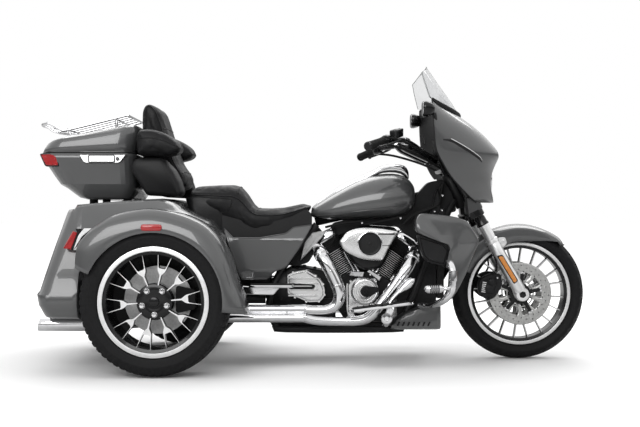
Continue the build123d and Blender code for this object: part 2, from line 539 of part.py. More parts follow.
# ---------------------------------------------------------------- exhaust
rear_header = tube([(20, -86, 538), (36, -EXHAUST_Y + 40, 522), (56, -EXHAUST_Y, 490), (132, -EXHAUST_Y, 345),
                    (86, -EXHAUST_Y, 252), (-100, -EXHAUST_Y, 252)], 24, 26)
front_header = tube([(470, -86, 528), (474, -EXHAUST_Y + 44, 505), (440, -EXHAUST_Y, 440), (330, -EXHAUST_Y, 295),
                     (232, -EXHAUST_Y, 202), (-100, -EXHAUST_Y, 202)], 23, 26)
engine_top = heads + rockers + pushrods
rear_header -= engine_top
front_header -= engine_top


def muffler_section(x, y, z, tall, wide, corner):
    """Rounded section of a muffler, square to the vehicle's length."""
    return Plane(origin=(x, y, z), x_dir=(0, 0, 1), z_dir=(-1, 0, 0)) * RectangleRounded(tall, wide, corner)


collector = loft([muffler_section(-101, -EXHAUST_Y, 227, 100, 62, 28), muffler_section(-240, -EXHAUST_Y, 226, 96, 70, 30),
                  muffler_section(-395, -EXHAUST_Y - 4, 222, 64, 62, 29)])
tail_pipe = tube([(-395, -EXHAUST_Y - 4, 222), (-480, -EXHAUST_Y - 8, 220), (-900, -TIP_Y + 30, TIP_Z),
                  (-1224, -TIP_Y, TIP_Z)], 29, 160)
tail_pipe -= rod((-1226, -TIP_Y, TIP_Z), (-1150, -TIP_Y + 10, TIP_Z), 24)
cross_pipe = tube([(-300, -EXHAUST_Y + 30, 248), (-440, -EXHAUST_Y + 40, 248), (-520, 0, 244), (-520, 200, 238),
                   (-600, EXHAUST_Y + 20, 220), (-900, TIP_Y - 30, TIP_Z), (-1224, TIP_Y, TIP_Z)], 24, 45)
cross_pipe -= rod((-1226, TIP_Y, TIP_Z), (-1150, TIP_Y - 10, TIP_Z), 20)
save("exhaust", max(rear_header.solids(), key=lambda solid: solid.volume),
     max(front_header.solids(), key=lambda solid: solid.volume), collector + tail_pipe + cross_pipe)

# ---------------------------------------------------------------- footboards, guard, pedals
BOARD_IN, BOARD_OUT = 262.0, 372.0
board_slope = degrees(atan2(38, 287))
board = Pos(322, (BOARD_IN + BOARD_OUT) / 2, 277) * Rot(0, -board_slope, 0) * extrude(
    RectangleRounded(290, BOARD_OUT - BOARD_IN, 34), amount=12)
board_arm = tube([(345, RAIL_Y + RAIL_R + 1, 180), (348, 250, 190), (352, 300, 268)], 14, 40)
passenger_board = Pos(-190, (BOARD_IN + BOARD_OUT) / 2 - 6, 366) * extrude(
    RectangleRounded(205, BOARD_OUT - BOARD_IN - 12, 30), amount=16)
board_strut = prism([(-300, 330), (-300, 365), (-150, 365), (-180, 330)], 160, 330, 6)
save("footboards", *both(board + board_arm), *both(passenger_board + board_strut))

pedal = tube([(350, -300, 240), (372, -300, 320), (440, -300, 392)], 10, 60) + Pos(
    448, -308, 396) * Rot(0, -40, 0) * Box(62, 60, 14)
pedal -= board
pedal -= mirror(board, about=Plane.XZ)
shifter = tube([(210, 300, 315), (330, 318, 330), (470, 318, 372)], 8, 60) + rod((470, 290, 372), (470, 350, 372), 13)
shifter -= board
save("foot_levers", max(pedal.solids(), key=lambda solid: solid.volume),
     max(shifter.solids(), key=lambda solid: solid.volume))

guard = tube([(585, 132, 506), (604, 240, 500), (632, 385, 470), (636, 392, 380), (606, 385, 320), (540, 250, 276),
              (505, 205, 276)], 16, 26)
peg = rod((515, 400, 364), (606, 400, 366), 20)

# ---------------------------------------------------------------- lower fairings
lower_side = [(483, 704), (540, 705), (651, 692), (702, 677), (722, 656), (766, 582), (757, 553), (730, 494),
              (697, 415), (672, 366), (636, 318), (611, 330), (634, 360), (643, 453), (606, 458), (629, 537),
              (606, 574), (518, 602), (476, 622), (469, 650)]
LOWER_IN, LOWER_OUT = 190.0, 372.0
lower = prism(lower_side, LOWER_IN, LOWER_OUT)
pocket_side = [(476, 612), (518, 600), (606, 572), (632, 537), (606, 458), (530, 480), (505, 505), (490, 560)]
pocket = prism(pocket_side, LOWER_IN, LOWER_OUT - 12)
save("lower_fairings", *both(lower - guard), *both(pocket - lower - guard))
save("engine_guard", *both(guard + peg))
chin_side = [(365, 158), (604, 158), (612, 262), (590, 266), (500, 256), (440, 234), (395, 196)]
chin = prism(chin_side, -200, 200) - frame - both(guard)
save("chin_panel", max(chin.solids(), key=lambda solid: solid.volume))
radiator = box(592, 632, -120, 120, 300, 520)
save("radiator", radiator)

save("frame", frame)

# ---------------------------------------------------------------- front end
LOW_CLAMP, HIGH_CLAMP = 702.0, 930.0
legs = []
for side in (-1, 1):
    y = side * LEG_Y
    leg = rod((leg_x(FRONT_R), y, FRONT_R), (leg_x(560), y, 560), 30)
    leg += disc_y(FRONT_X, FRONT_R, 32, y - 28, y + 28)
    leg += rod((leg_x(560), y, 560), (leg_x(948), y, 948), 24.5)
    legs.append(leg)
axle_pin = disc_y(FRONT_X, FRONT_R, 14 - GAP, -LEG_Y - 34, LEG_Y + 34)
stem = rod((steer_x(LOW_CLAMP - 10), 0, LOW_CLAMP - 10), (steer_x(HIGH_CLAMP + 12), 0, HIGH_CLAMP + 12), 16)
fork = stem + axle_pin
for z, thick in ((LOW_CLAMP, 34), (HIGH_CLAMP, 22)):
    place = Plane(origin=((steer_x(z) + leg_x(z)) / 2, 0, z), x_dir=(0, 1, 0),
                  z_dir=(-sin(radians(RAKE)), 0, cos(radians(RAKE))))
    fork += extrude(place * RectangleRounded(2 * LEG_Y + 70, 84, 34), amount=thick / 2, both=True)
for leg in legs:
    fork += leg
save("fork", fork)
covers = []
for side in (-1, 1):
    y = side * LEG_Y
    shroud = prism([(leg_x(735) + dx, z) for dx, z in ((-47, 790), (31, 760), (43, 730), (-5, 694), (-31, 676))],
                   y - 34, y + 34, 8)
    covers.append(shroud - fork)

MUD_HALF, MUD_R, MUD_WALL = FRONT_HALF + 19, FRONT_R + 16.7, 4.0
mud_outer = [(MUD_HALF, MUD_R - 86), (MUD_HALF, MUD_R - 18), (MUD_HALF - 44, MUD_R)]
mud_inner = [(MUD_HALF - 46, MUD_R - MUD_WALL), (MUD_HALF - MUD_WALL, MUD_R - 21), (MUD_HALF - MUD_WALL, MUD_R - 86)]
mud_profile = make_face(Polyline(*[(-y, r) for y, r in mud_outer], *reversed(mud_outer), *reversed(mud_inner),
                                 *[(-y, r) for y, r in mud_inner], close=True))
mud_plane = Plane(origin=(0, 0, 0), x_dir=(0, 1, 0), z_dir=(1, 0, 0)) * mud_profile
MUD_FRONT, MUD_REAR = 49.0, 158.0
mudguard = revolve(mud_plane, Axis.Y, revolution_arc=MUD_REAR - MUD_FRONT)
mudguard = Rot(0, 90 - MUD_REAR, 0) * mudguard
mudguard = Pos(FRONT_X, 0, FRONT_R) * mudguard
save("front_fender", max((mudguard - fork).solids(), key=lambda solid: solid.volume))

caliper_front = [(FRONT_X + dx, FRONT_R + dz) for dx, dz in (
    (-208, 44), (-198, 76), (-140, 106), (-96, 101), (-89, 44), (-130, -23), (-164, -31), (-203, 3))]
grip_block = prism(caliper_front, DISC_Y - 14, DISC_Y + 34, 6)
grip_block -= disc_y(FRONT_X, FRONT_R, DISC_R + 5, DISC_Y - 8, DISC_Y + 8)
grip_block -= disc_y(FRONT_X, FRONT_R, 96, 0, 200)
save("front_calipers", *both(grip_block - fork))
reflector = Plane(origin=(leg_x(440) , -LEG_Y - 30, 440), x_dir=(-sin(radians(LEG_ANGLE)), 0, cos(radians(LEG_ANGLE))),
                  z_dir=(0, -1, 0)) * RectangleRounded(140, 22, 6)
save("reflectors", *both(extrude(reflector, amount=6) - fork))

# ---------------------------------------------------------------- handlebar and fairing
bar_points = [(586, 0, 962), (580, 70, 965), (470, 140, 1040), (425, 215, 1050), (335, 330, 1040), (250, 452, 1006)]
right_bar = [(x, -y, z) for x, y, z in bar_points]
bar = tube(right_bar[::-1] + bar_points[1:], 13, 22)
riser = rod((steer_x(HIGH_CLAMP + 14), -40, HIGH_CLAMP + 14), (586, -40, 962), 16)
handlebar = bar + riser + mirror(riser, about=Plane.XZ)
save("handlebar", handlebar - fork)
grip_start, grip_end = Vector(*bar_points[4]), Vector(*bar_points[5])
along = (grip_end - grip_start).normalized()
grips = rod(grip_start + along * 22, grip_end + along * 6, 19)
grips -= rod(grip_start, grip_end, 13)
save("grips", *both(grips))
switch = rod(grip_start - along * 20, grip_start + along * 20, 26) - bar
lever = tube([grip_start + Vector(52, -20, 6), grip_start + Vector(62, 60, 0), grip_end + Vector(66, -30, -4)], 7, 40)
save("hand_controls", *both(switch), *both(lever - switch))

fairing_rows = [  # z, near edge x, nose x, half width
    (760, 772, 884, 165),
    (850, 668, 874, 262),
    (985, 574, 912, 322),
    (1110, 556, 798, 330),
    (1228, 548, 612, 300),
]


def fairing_section(z, edge_x, nose_x, half, wall):
    """Level ring-shaped section of the fairing: an arc outside and one inside it."""
    outer = ThreePointArc((edge_x, -half, z), (nose_x, 0, z), (edge_x, half, z))
    inner = ThreePointArc((edge_x, half - wall, z), (nose_x - wall, 0, z), (edge_x, -half + wall, z))
    return make_face([outer, Line(outer @ 1, inner @ 0), inner, Line(inner @ 1, outer @ 0)])


fairing = loft([fairing_section(*row, 6) for row in fairing_rows])
TOP_SLOPE, TOP_X, TOP_Z = -0.311, 716.0, 1174.0         # the fairing's top edge falls forward


def beyond_top(rise, height):
    """Block from the line of the fairing's top edge, raised by rise, to height above or below it."""
    reach, side = 400, 1.3 * fairing_rows[3][3]
    line = [(TOP_X + dx, TOP_Z + rise + TOP_SLOPE * dx) for dx in (-reach, reach)]
    return prism(line + [(x, z + height) for x, z in reversed(line)], -side, side)


fairing -= beyond_top(0, 400)
save("fork_covers", *[max((c - fairing).solids(), key=lambda solid: solid.volume) for c in covers])
headlamp = rod((830, 0, 872), (880, 0, 872), 84)
fairing_front = fairing - rod((800, 0, 872), (950, 0, 872), 86)
save("fairing_outer", max(fairing_front.solids(), key=lambda solid: solid.volume))
save("headlamp", headlamp - fairing)

screen_rows = [(1150, 560, 752, 300, 4), (1230, 545, 684, 285, 4), (1320, 515, 628, 262, 4), (1420, 500, 552, 170, 4)]
screen = loft([fairing_section(*row) for row in screen_rows])
save("windshield", max((screen - beyond_top(4, -300)).solids(), key=lambda solid: solid.volume))

dash_rows = [(880, 622, 690, 262, 5), (985, 574, 660, 305, 5), (1110, 556, 640, 315, 5), (1200, 552, 600, 292, 5)]
dash = loft([fairing_section(*row) for row in dash_rows]) - fork - handlebar - fairing
save("fairing_inner", max(dash.solids(), key=lambda solid: solid.volume))
mirror_shell = Pos(500, 322, 1118) * extrude(Plane.YZ * RectangleRounded(100, 90, 30), amount=28)
save("mirrors", *both(mirror_shell))
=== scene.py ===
"""Looks of the motorized trike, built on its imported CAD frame.

Points are in millimetres in the row frame (+X forward, +Y to the rider's left, +Z up) and
become metres when a form turns into a piece.
"""

from math import atan2, cos, degrees, hypot, pi, radians, sin, sqrt, tan

import bmesh
import bpy
from mathutils import Matrix, Vector
from mathutils.bvhtree import BVHTree


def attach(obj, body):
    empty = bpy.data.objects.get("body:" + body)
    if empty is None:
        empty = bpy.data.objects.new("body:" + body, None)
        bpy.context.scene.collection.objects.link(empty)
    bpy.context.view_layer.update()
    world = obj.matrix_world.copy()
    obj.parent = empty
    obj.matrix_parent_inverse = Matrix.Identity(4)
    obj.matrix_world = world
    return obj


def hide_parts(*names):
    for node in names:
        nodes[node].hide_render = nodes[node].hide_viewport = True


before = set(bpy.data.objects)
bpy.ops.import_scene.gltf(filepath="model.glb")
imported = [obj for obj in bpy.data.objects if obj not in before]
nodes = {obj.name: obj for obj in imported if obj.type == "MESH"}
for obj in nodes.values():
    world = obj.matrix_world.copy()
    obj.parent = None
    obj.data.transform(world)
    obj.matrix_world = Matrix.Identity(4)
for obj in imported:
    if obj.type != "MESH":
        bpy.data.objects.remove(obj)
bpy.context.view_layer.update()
scene = bpy.context.scene

SIDES = ((-1, "right"), (1, "left"))
FRONT, REAR = (1001.0, 319.3), (-679.0, 325.4)  # wheel centres (x, z)
REAR_Y = 565.0  # middle of a rear wheel
LEG_Y = 118.0  # fork leg
RAKE = radians(29.2)  # of the fork legs
LAMP = (852, 872)  # headlamp (x, z)

# ---------------------------------------------------------------- materials
MATERIALS = {}


def shader_node(tree, kind, operation=None, **inputs):
    """New shader node. An input is a value, or another node's output that is linked to it."""
    made = tree.nodes.new("ShaderNode" + kind)
    if operation:
        made.operation = operation
    fill(tree, made, **inputs)
    return made


def fill(tree, node, **inputs):
    """Sets or links a node's inputs, named by their sockets or, as `_0`, by number."""
    for word, value in inputs.items():
        socket = node.inputs[int(word[1:]) if word[0] == "_" else word.replace("_", " ")]
        if isinstance(value, bpy.types.NodeSocket):
            tree.links.new(value, socket)
        else:
            socket.default_value = value


def new_material(name):
    """New material with its tree and its shader."""
    made = bpy.data.materials.new(name)
    made.use_nodes = True
    return made, made.node_tree, made.node_tree.nodes["Principled BSDF"]


def banded(tree, value, rate):
    """Sine bands over a length, `rate` of them per metre."""
    times = shader_node(tree, "Math", "MULTIPLY", _0=value, _1=rate * 2 * pi)
    return shader_node(tree, "Math", "SINE", _0=times.outputs[0]).outputs[0]


def finish(name, colour, rough, metal=0.0, coat=0.0, vary=0.12, grain=40.0, bump=None, cells=None, rings=None,
           wave=None, **sockets):
    """Principled material in the row frame's coordinates.

    vary is the share by which noise of `grain` per metre changes colour and roughness. bump is
    (noise scale, height in mm), cells (cell scale, height in mm), rings ((x, z) centre, rings
    per metre, height in mm), wave (direction, bands per metre, height in mm).
    """
    MATERIALS[name], tree, shader = new_material(name)
    place = shader_node(tree, "TexCoord").outputs["Object"]
    noise = shader_node(tree, "TexNoise", Vector=place, Scale=grain, Detail=5.0).outputs["Fac"]
    ramp = shader_node(tree, "ValToRGB", Fac=noise)
    for element, at, factor in zip(ramp.color_ramp.elements, (0.3, 0.7), (1 - vary, 1 + vary)):
        element.position = at
        element.color = (*[min(1.0, c * factor) for c in colour], 1)
    spread = shader_node(tree, "MapRange", Value=noise, To_Min=max(0.0, rough * (1 - 2 * vary)),
                         To_Max=min(1.0, rough * (1 + 2 * vary)))
    fill(tree, shader, Base_Color=ramp.outputs["Color"], Roughness=spread.outputs["Result"], Metallic=metal,
         Coat_Weight=coat, Coat_Roughness=0.03, **sockets)
    heights = []
    if bump:
        fine = shader_node(tree, "TexNoise", Vector=place, Scale=bump[0], Detail=3.0)
        heights.append((fine.outputs["Fac"], bump[1]))
    if cells:
        cell = shader_node(tree, "TexVoronoi")
        cell.feature = "SMOOTH_F1"
        fill(tree, cell, Vector=place, Scale=cells[0])
        heights.append((cell.outputs["Distance"], cells[1]))
    if rings:
        (x, z), rate, height = rings
        shift = shader_node(tree, "VectorMath", "SUBTRACT", _0=place, _1=(x / 1000, 0, z / 1000))
        flat = shader_node(tree, "VectorMath", "MULTIPLY", _0=shift.outputs[0], _1=(1, 0, 1))
        reach = shader_node(tree, "VectorMath", "LENGTH", _0=flat.outputs[0])
        heights.append((banded(tree, reach.outputs["Value"], rate), height))
    if wave:
        across = shader_node(tree, "VectorMath", "DOT_PRODUCT", _0=place, _1=wave[0])
        heights.append((banded(tree, across.outputs["Value"], wave[1]), wave[2]))
    below = {}
    for source, height in heights:
        node = shader_node(tree, "Bump", Distance=height / 1000, Height=source, **below)
        below = {"Normal": node.outputs["Normal"]}
    fill(tree, shader, **below)


finish("paint", (0.062, 0.063, 0.064), 0.34, coat=1.0, vary=0.05, grain=900, bump=(260, 0.012))
finish("paint_shade", (0.040, 0.040, 0.041), 0.45, coat=0.4, vary=0.08, grain=500, bump=(400, 0.02))
finish("chrome", (0.80, 0.80, 0.81), 0.07, 1.0, vary=0.06, grain=30, bump=(45, 0.01))
finish("bright", (0.92, 0.92, 0.92), 0.36, 1.0, vary=0.03, grain=90, bump=(600, 0.003))
finish("satin", (0.80, 0.80, 0.80), 0.26, 1.0, vary=0.05, grain=120, bump=(700, 0.004))
finish("cast", (0.42, 0.42, 0.42), 0.42, 1.0, vary=0.15, grain=300, bump=(900, 0.06))
for name, at in (("front", FRONT), ("rear", REAR)):
    finish(f"machined_{name}", (0.92, 0.92, 0.92), 0.36, 1.0, vary=0.05, grain=60, rings=(at, 900, 0.006))
    # The rear discs get a darker grey than the front ones: painted shade, for the shade they sit in behind
    # the rear spokes.
    finish(f"disc_{name}", (0.40, 0.40, 0.40) if name == "rear" else (0.52, 0.52, 0.51), 0.38, 1.0,
           vary=0.14, grain=120, rings=(at, 700, 0.012))
    finish(f"tyre_{name}", (0.011, 0.011, 0.0115), 0.6, vary=0.25, grain=90, bump=(700, 0.05),
           rings=(at, 160, 0.10), Specular_IOR_Level=0.12)
finish("black_gloss", (0.005, 0.005, 0.0055), 0.25, coat=0.35, vary=0.08, grain=200, bump=(300, 0.01),
       Specular_IOR_Level=0.2)
finish("black_satin", (0.010, 0.010, 0.0105), 0.42, vary=0.2, grain=150, bump=(1400, 0.05),
       Specular_IOR_Level=0.25)
finish("engine_black", (0.009, 0.009, 0.0095), 0.45, vary=0.25, grain=120, cells=(700, 0.12),
       Specular_IOR_Level=0.18)
finish("plastic", (0.010, 0.010, 0.0105), 0.5, vary=0.15, grain=300, cells=(1100, 0.06),
       Specular_IOR_Level=0.25)
finish("rubber", (0.010, 0.010, 0.010), 0.72, vary=0.2, grain=250, bump=(900, 0.05), Specular_IOR_Level=0.2)
finish("leather", (0.008, 0.008, 0.0085), 0.5, vary=0.3, grain=35, cells=(420, 0.16), bump=(28, 0.5),
       Specular_IOR_Level=0.2)
finish("stitch", (0.03, 0.03, 0.03), 0.6, vary=0.2, grain=900, wave=((1, 0.4, 0.3), 300, 0.2))
finish("glass", (0.80, 0.805, 0.81), 0.02, vary=0.01, grain=8, Transmission_Weight=1.0, IOR=1.25)
finish("lens_red", (0.36, 0.003, 0.005), 0.12, coat=1.0, vary=0.12, grain=60, wave=((1, 0, 0.2), 220, 0.25))
finish("lens_amber", (0.62, 0.22, 0.03), 0.2, coat=1.0, vary=0.1, grain=60, cells=(500, 0.3))
finish("lens_white", (0.80, 0.80, 0.80), 0.12, coat=1.0, vary=0.05, grain=60, wave=((0, 0.2, 1), 260, 0.25))
finish("lens_clear", (0.93, 0.94, 0.95), 0.03, vary=0.02, grain=20, Transmission_Weight=1.0, IOR=1.45,
       wave=((0, 1, 0), 70, 0.3))
# Opaque grey for the windshield's edge: a painted reflection, standing in for the darker surroundings that
# the clear edge refracts and mirrors.
finish("edge_glass", (0.34, 0.35, 0.35), 0.15, coat=1.0, vary=0.05, grain=40)
finish("fins", (0.02, 0.02, 0.02), 0.5, 0.6, vary=0.2, grain=100, wave=((0, 0, 1), 260, 0.8))

# ---------------------------------------------------------------- forms


def spaced(count, low=0.0, high=1.0):
    """Evenly spaced values from low to high."""
    return [low + (high - low) * i / (count - 1) for i in range(count)]


def smooth_path(points, steps=6, closed=False):
    """Points on a Catmull-Rom curve through the given ones."""
    points = [Vector(p) for p in points]
    n = len(points)
    made = []
    for i in range(n if closed else n - 1):
        if closed:
            a, b, c, d = (points[(i + k) % n] for k in (-1, 0, 1, 2))
        else:
            a, b, c, d = (points[min(max(i + k, 0), n - 1)] for k in (-1, 0, 1, 2))
        for s in range(steps):
            t = s / steps
            made.append(0.5 * (2 * b + (c - a) * t + (2 * a - 5 * b + 4 * c - d) * t * t
                               + (3 * b - a - 3 * c + d) * t ** 3))
    if not closed:
        made.append(points[-1])
    return made


def around(count):
    """Evenly spaced angles of a full turn."""
    return [2 * pi * i / count for i in range(count)]


def curve(points, steps):
    """Closed smooth outline through (x, z) points."""
    return [(p.x, p.y) for p in smooth_path([(x, z, 0) for x, z in points], steps, True)]


def oblong(x0, x1, z0, z1):
    """Corners of an upright rectangle."""
    return [(x0, z0), (x1, z0), (x1, z1), (x0, z1)]


def rounded(points, radius, steps=4):
    """Closed outline with its corners rounded."""
    made = []
    n = len(points)
    for i in range(n):
        here = Vector(points[i])
        before, after = Vector(points[i - 1]) - here, Vector(points[(i + 1) % n]) - here
        cut = min(radius, before.length * 0.45, after.length * 0.45)
        a, b = here + before.normalized() * cut, here + after.normalized() * cut
        for s in range(steps + 1):
            t = s / steps
            made.append(a * (1 - t) ** 2 + here * 2 * t * (1 - t) + b * t * t)
    return made


def inset(points, amount):
    """Closed 2D outline moved inwards."""
    points = [Vector(p) for p in points]
    area = sum(a.x * b.y - b.x * a.y for a, b in zip(points, points[1:] + points[:1]))
    turn = 1 if area > 0 else -1
    made = []
    for i, here in enumerate(points):
        a = (here - points[i - 1]).normalized()
        b = (points[(i + 1) % len(points)] - here).normalized()
        normal = Vector((-(a.y + b.y), a.x + b.x)) * turn
        if normal.length < 1e-6:
            normal = Vector((-a.y, a.x)) * turn
        normal.normalize()
        lean = max(0.45, normal.dot(Vector((-a.y, a.x)) * turn))
        made.append(here + normal * amount / lean)
    return made


class Form:
    """Points in millimetres and faces with material numbers, which become one piece."""

    def __init__(self):
        self.points, self.faces, self.kinds = [], [], []

    def ring(self, points):
        first = len(self.points)
        self.points += [Vector(p) for p in points]
        return list(range(first, len(self.points)))

    def face(self, corners, kind=0):
        self.faces.append(tuple(corners))
        self.kinds.append(kind)

    def skin(self, rings, kind=0, caps=(True, True), loop=True, close=False):
        """Quads between rings of equally many points. loop closes each ring, close the run of rings."""
        rows = [self.ring(r) for r in rings]
        for a, b in zip(rows, rows[1:] + (rows[:1] if close else [])):
            for i in range(len(a) if loop else len(a) - 1):
                j = (i + 1) % len(a)
                self.face((a[i], a[j], b[j], b[i]), kind)
        if loop and not close:
            if caps[0]:
                self.face(rows[0][::-1], kind)
            if caps[1]:
                self.face(rows[-1], kind)
        return self

    def plate(self, outline, y0, y1, kind=0, edge=0.0, top=None, deep=None):
        """X-Z outline from y0 to y1. At y1 the chamfer is edge wide, deep deep, and the face has kind top."""
        outline = [Vector(p) for p in outline]
        sign = 1 if y1 > y0 else -1
        rows = [[(p.x, y0, p.y) for p in outline]]
        if edge:
            rows.append([(p.x, y1 - sign * (deep or edge), p.y) for p in outline])
            rows.append([(p.x, y1, p.y) for p in inset(outline, edge)])
        else:
            rows.append([(p.x, y1, p.y) for p in outline])
        self.skin(rows, kind)
        if top is not None:
            self.kinds[-1] = top
        return self

    def cut(self, corners, radius, y0, y1, edge=0.0, deep=None):
        """Plate with rounded corners."""
        return self.plate(rounded(corners, radius), y0, y1, edge=edge, deep=deep)

    def layers(self, outline, levels, place=None, kind=0):
        """Skins an outline through (level, inset) pairs, place giving the point at a place and level."""
        place = place or (lambda p, y: (p.x, y, p.y))
        return self.skin([[place(p, level) for p in inset(outline, amount)] for level, amount in levels],
                         kind)

    def turn(self, profile, start, axis, steps=48, kind=0, kinds=None, closed=False):
        """Profile of (radius, distance along the axis) turned about the axis."""
        start, axis = Vector(start), Vector(axis).normalized()
        side = axis.orthogonal().normalized()
        other = axis.cross(side)
        rows = []
        for r, along in profile:
            rows.append(self.ring([start + axis * along + (side * cos(a) + other * sin(a)) * r
                                   for a in around(steps)]))
        pairs = list(zip(rows, rows[1:] + (rows[:1] if closed else [])))
        for n, (a, b) in enumerate(pairs):
            for i in range(steps):
                j = (i + 1) % steps
                self.face((a[i], a[j], b[j], b[i]), kinds[n] if kinds else kind)
        if not closed:
            self.face(rows[0][::-1], kinds[0] if kinds else kind)
            self.face(rows[-1], kinds[-1] if kinds else kind)
        return self

    def rod(self, start, end, r0, r1=None, steps=20, kind=0):
        """Round bar with chamfered ends."""
        start, end = Vector(start), Vector(end)
        length = (end - start).length
        r1 = r0 if r1 is None else r1
        lip = min(1.2, r0 * 0.4, r1 * 0.4, length * 0.3)
        return self.turn([(r0 - lip, 0), (r0, lip), (r1, length - lip), (r1 - lip, length)], start,
                         end - start, steps, kind)

    def pipe(self, points, r, steps=16, smooth=5, scale=None):
        """Tube along a smooth path. r may be a list with a radius for each given point."""
        path = smooth_path(points, smooth) if len(points) > 2 else [Vector(p) for p in points]
        count = len(path)
        if isinstance(r, (list, tuple)):
            sizes = []
            for i in range(count):
                place = i / (count - 1) * (len(r) - 1)
                low = min(int(place), len(r) - 2)
                sizes.append(r[low] + (r[low + 1] - r[low]) * (place - low))
        else:
            sizes = [r] * count
        heading = (path[1] - path[0]).normalized()
        side = heading.orthogonal().normalized()
        rings = []
        for i, here in enumerate(path):
            ahead = (path[min(i + 1, count - 1)] - path[max(i - 1, 0)]).normalized()
            side = (side - ahead * side.dot(ahead)).normalized()
            other = ahead.cross(side)
            offsets = [(side * cos(a) + other * sin(a)) * sizes[i] for a in around(steps)]
            rings.append([here + offset * Vector(scale or (1, 1, 1)) for offset in offsets])
        return self.skin(rings)

    def bolts(self, places, axis, r, height):
        """Bolt heads: a chamfered head with a socket."""
        profile = [(r, -1), (r, height * 0.7), (r * 0.8, height), (r * 0.5, height),
                   (r * 0.42, height * 0.45), (0.01, height * 0.4)]
        for place in places:
            self.turn(profile, place, axis, 12)
        return self

    def studs(self, y, places, r, height):
        """Bolt heads at (x, z) places on an outer face at y."""
        return self.bolts([(x, y, z) for x, z in places], (0, 1 if y > 0 else -1, 0), r, height)

    def mirror(self):
        """Adds the mirror image on the other side of the centreline."""
        shift = len(self.points)
        self.points += [Vector((p.x, -p.y, p.z)) for p in self.points]
        self.faces += [tuple(i + shift for i in reversed(f)) for f in self.faces]
        self.kinds += self.kinds[:]
        return self

    def spin(self, turns, centre):
        """Repeats the form, turned about an axis along Y through centre (x, z), angles in degrees."""
        points, faces, kinds = self.points, self.faces, self.kinds
        self.points, self.faces, self.kinds = [], [], []
        for angle in turns:
            c, s = cos(radians(angle)), sin(radians(angle))
            shift = len(self.points)
            for p in points:
                dx, dz = p.x - centre[0], p.z - centre[1]
                self.points.append(Vector((centre[0] + dx * c + dz * s, p.y, centre[1] - dx * s + dz * c)))
            self.faces += [tuple(i + shift for i in f) for f in faces]
            self.kinds += kinds
        return self

    def add(self, other):
        shift = len(self.points)
        self.points += other.points
        self.faces += [tuple(i + shift for i in f) for f in other.faces]
        self.kinds += other.kinds
        return self

    def made(self, name, materials, stands_for=(), body="chassis", smooth=38, sub=0, bevel=0.0, solid=0.0,
             merge=0.0):
        """Makes the piece. solid is a sheet's thickness, bevel rounds sharp edges, sub subdivides."""
        mesh = bpy.data.meshes.new(name)
        mesh.from_pydata([tuple(p / 1000) for p in self.points], [], self.faces)
        mesh.polygons.foreach_set("material_index", self.kinds)
        for m in [materials] if isinstance(materials, str) else materials:
            mesh.materials.append(MATERIALS[m])
        cleaned = bmesh.new()
        cleaned.from_mesh(mesh)
        if merge:
            bmesh.ops.remove_doubles(cleaned, verts=cleaned.verts, dist=merge / 1000)
        bmesh.ops.recalc_face_normals(cleaned, faces=cleaned.faces)
        cleaned.to_mesh(mesh)
        cleaned.free()
        mesh.polygons.foreach_set("use_smooth", [True] * len(mesh.polygons))
        piece = bpy.data.objects.new(name, mesh)
        scene.collection.objects.link(piece)
        dress(piece, smooth, sub, bevel, solid)
        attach(piece, body)
        if stands_for:
            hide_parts(*([stands_for] if isinstance(stands_for, str) else stands_for))
        return piece


def soften(piece, width, angle):
    """Rounds edges sharper than an angle."""
    edge = piece.modifiers.new("edges", "BEVEL")
    edge.width = width / 1000
    edge.segments = 2
    edge.limit_method = "ANGLE"
    edge.angle_limit = radians(angle)
    edge.harden_normals = True


def dress(piece, smooth=38, sub=0, bevel=0.0, solid=0.0):
    """Adds thickness, rounded edges and subdivision as modifiers."""
    if solid:
        sheet = piece.modifiers.new("thickness", "SOLIDIFY")
        sheet.thickness = abs(solid) / 1000
        sheet.offset = -1 if solid > 0 else 1
    if bevel:
        soften(piece, bevel, smooth)
    if sub:
        finer = piece.modifiers.new("finer", "SUBSURF")
        finer.levels = finer.render_levels = sub
    if not sub and not bevel:
        piece.data.set_sharp_from_angle(angle=radians(smooth))


def apply_all(piece):
    """Turns a piece's modifiers into its mesh."""
    graph = bpy.context.evaluated_depsgraph_get()
    new = bpy.data.meshes.new_from_object(piece.evaluated_get(graph), depsgraph=graph)
    new.materials.clear()
    for m in piece.data.materials:
        new.materials.append(m)
    piece.modifiers.clear()
    piece.data = new


def carve(piece, cutter):
    """Cuts a form out of a piece."""
    apply_all(piece)
    tool = cutter.made("cutter", [m.name for m in piece.data.materials])
    cut = piece.modifiers.new("cut", "BOOLEAN")
    cut.operation, cut.solver, cut.object = "DIFFERENCE", "EXACT", tool
    apply_all(piece)
    bpy.data.objects.remove(tool)
    piece.data.set_sharp_from_angle(angle=radians(40))


def coat_node(name, material, edge):
    """Keeps a CAD node, with a better material and softened edges."""
    node = nodes[name]
    node.data.materials.clear()
    node.data.materials.append(MATERIALS[material])
    weld = node.modifiers.new("weld", "WELD")
    weld.merge_threshold = 0.00002
    if edge:
        soften(node, edge, 35)
    return node


NODE_MATERIALS = {
    "leather": "armrests backrest seat",
    "satin": "cam_cover transmission_cover air_cleaner",
    "engine_black": "rear_axle transmission_case engine_case cylinder_heads cylinders",
    "black_satin": "frame rear_suspension rear_calipers front_calipers handlebar",
    "black_gloss": "hand_controls mirrors front_wheel rear_wheel_left rear_wheel_right",
    "plastic": "air_filter fairing_inner speaker_pods",
    "chrome": "pushrod_tubes rocker_covers primary_cover exhaust footboards foot_levers engine_guard fork "
              "top_case_latch luggage_rack tank_console",
    "paint": "lower_fairings chin_panel front_fender fairing_outer rear_body rear_fenders top_case_base "
             "top_case_lid trunk_door fuel_tank side_covers",
    "paint_shade": "fork_covers", "lens_amber": "reflectors", "lens_red": "rear_lamps",
    "lens_clear": "headlamp", "glass": "windshield", "rubber": "grips", "fins": "radiator",
    "disc_front": "front_discs", "tyre_front": "front_tyre", "tyre_rear": "rear_tyre_left rear_tyre_right"}
SOFTENED = {"rear_axle", "rear_suspension", "rear_calipers", "trunk_door", "fairing_inner"}
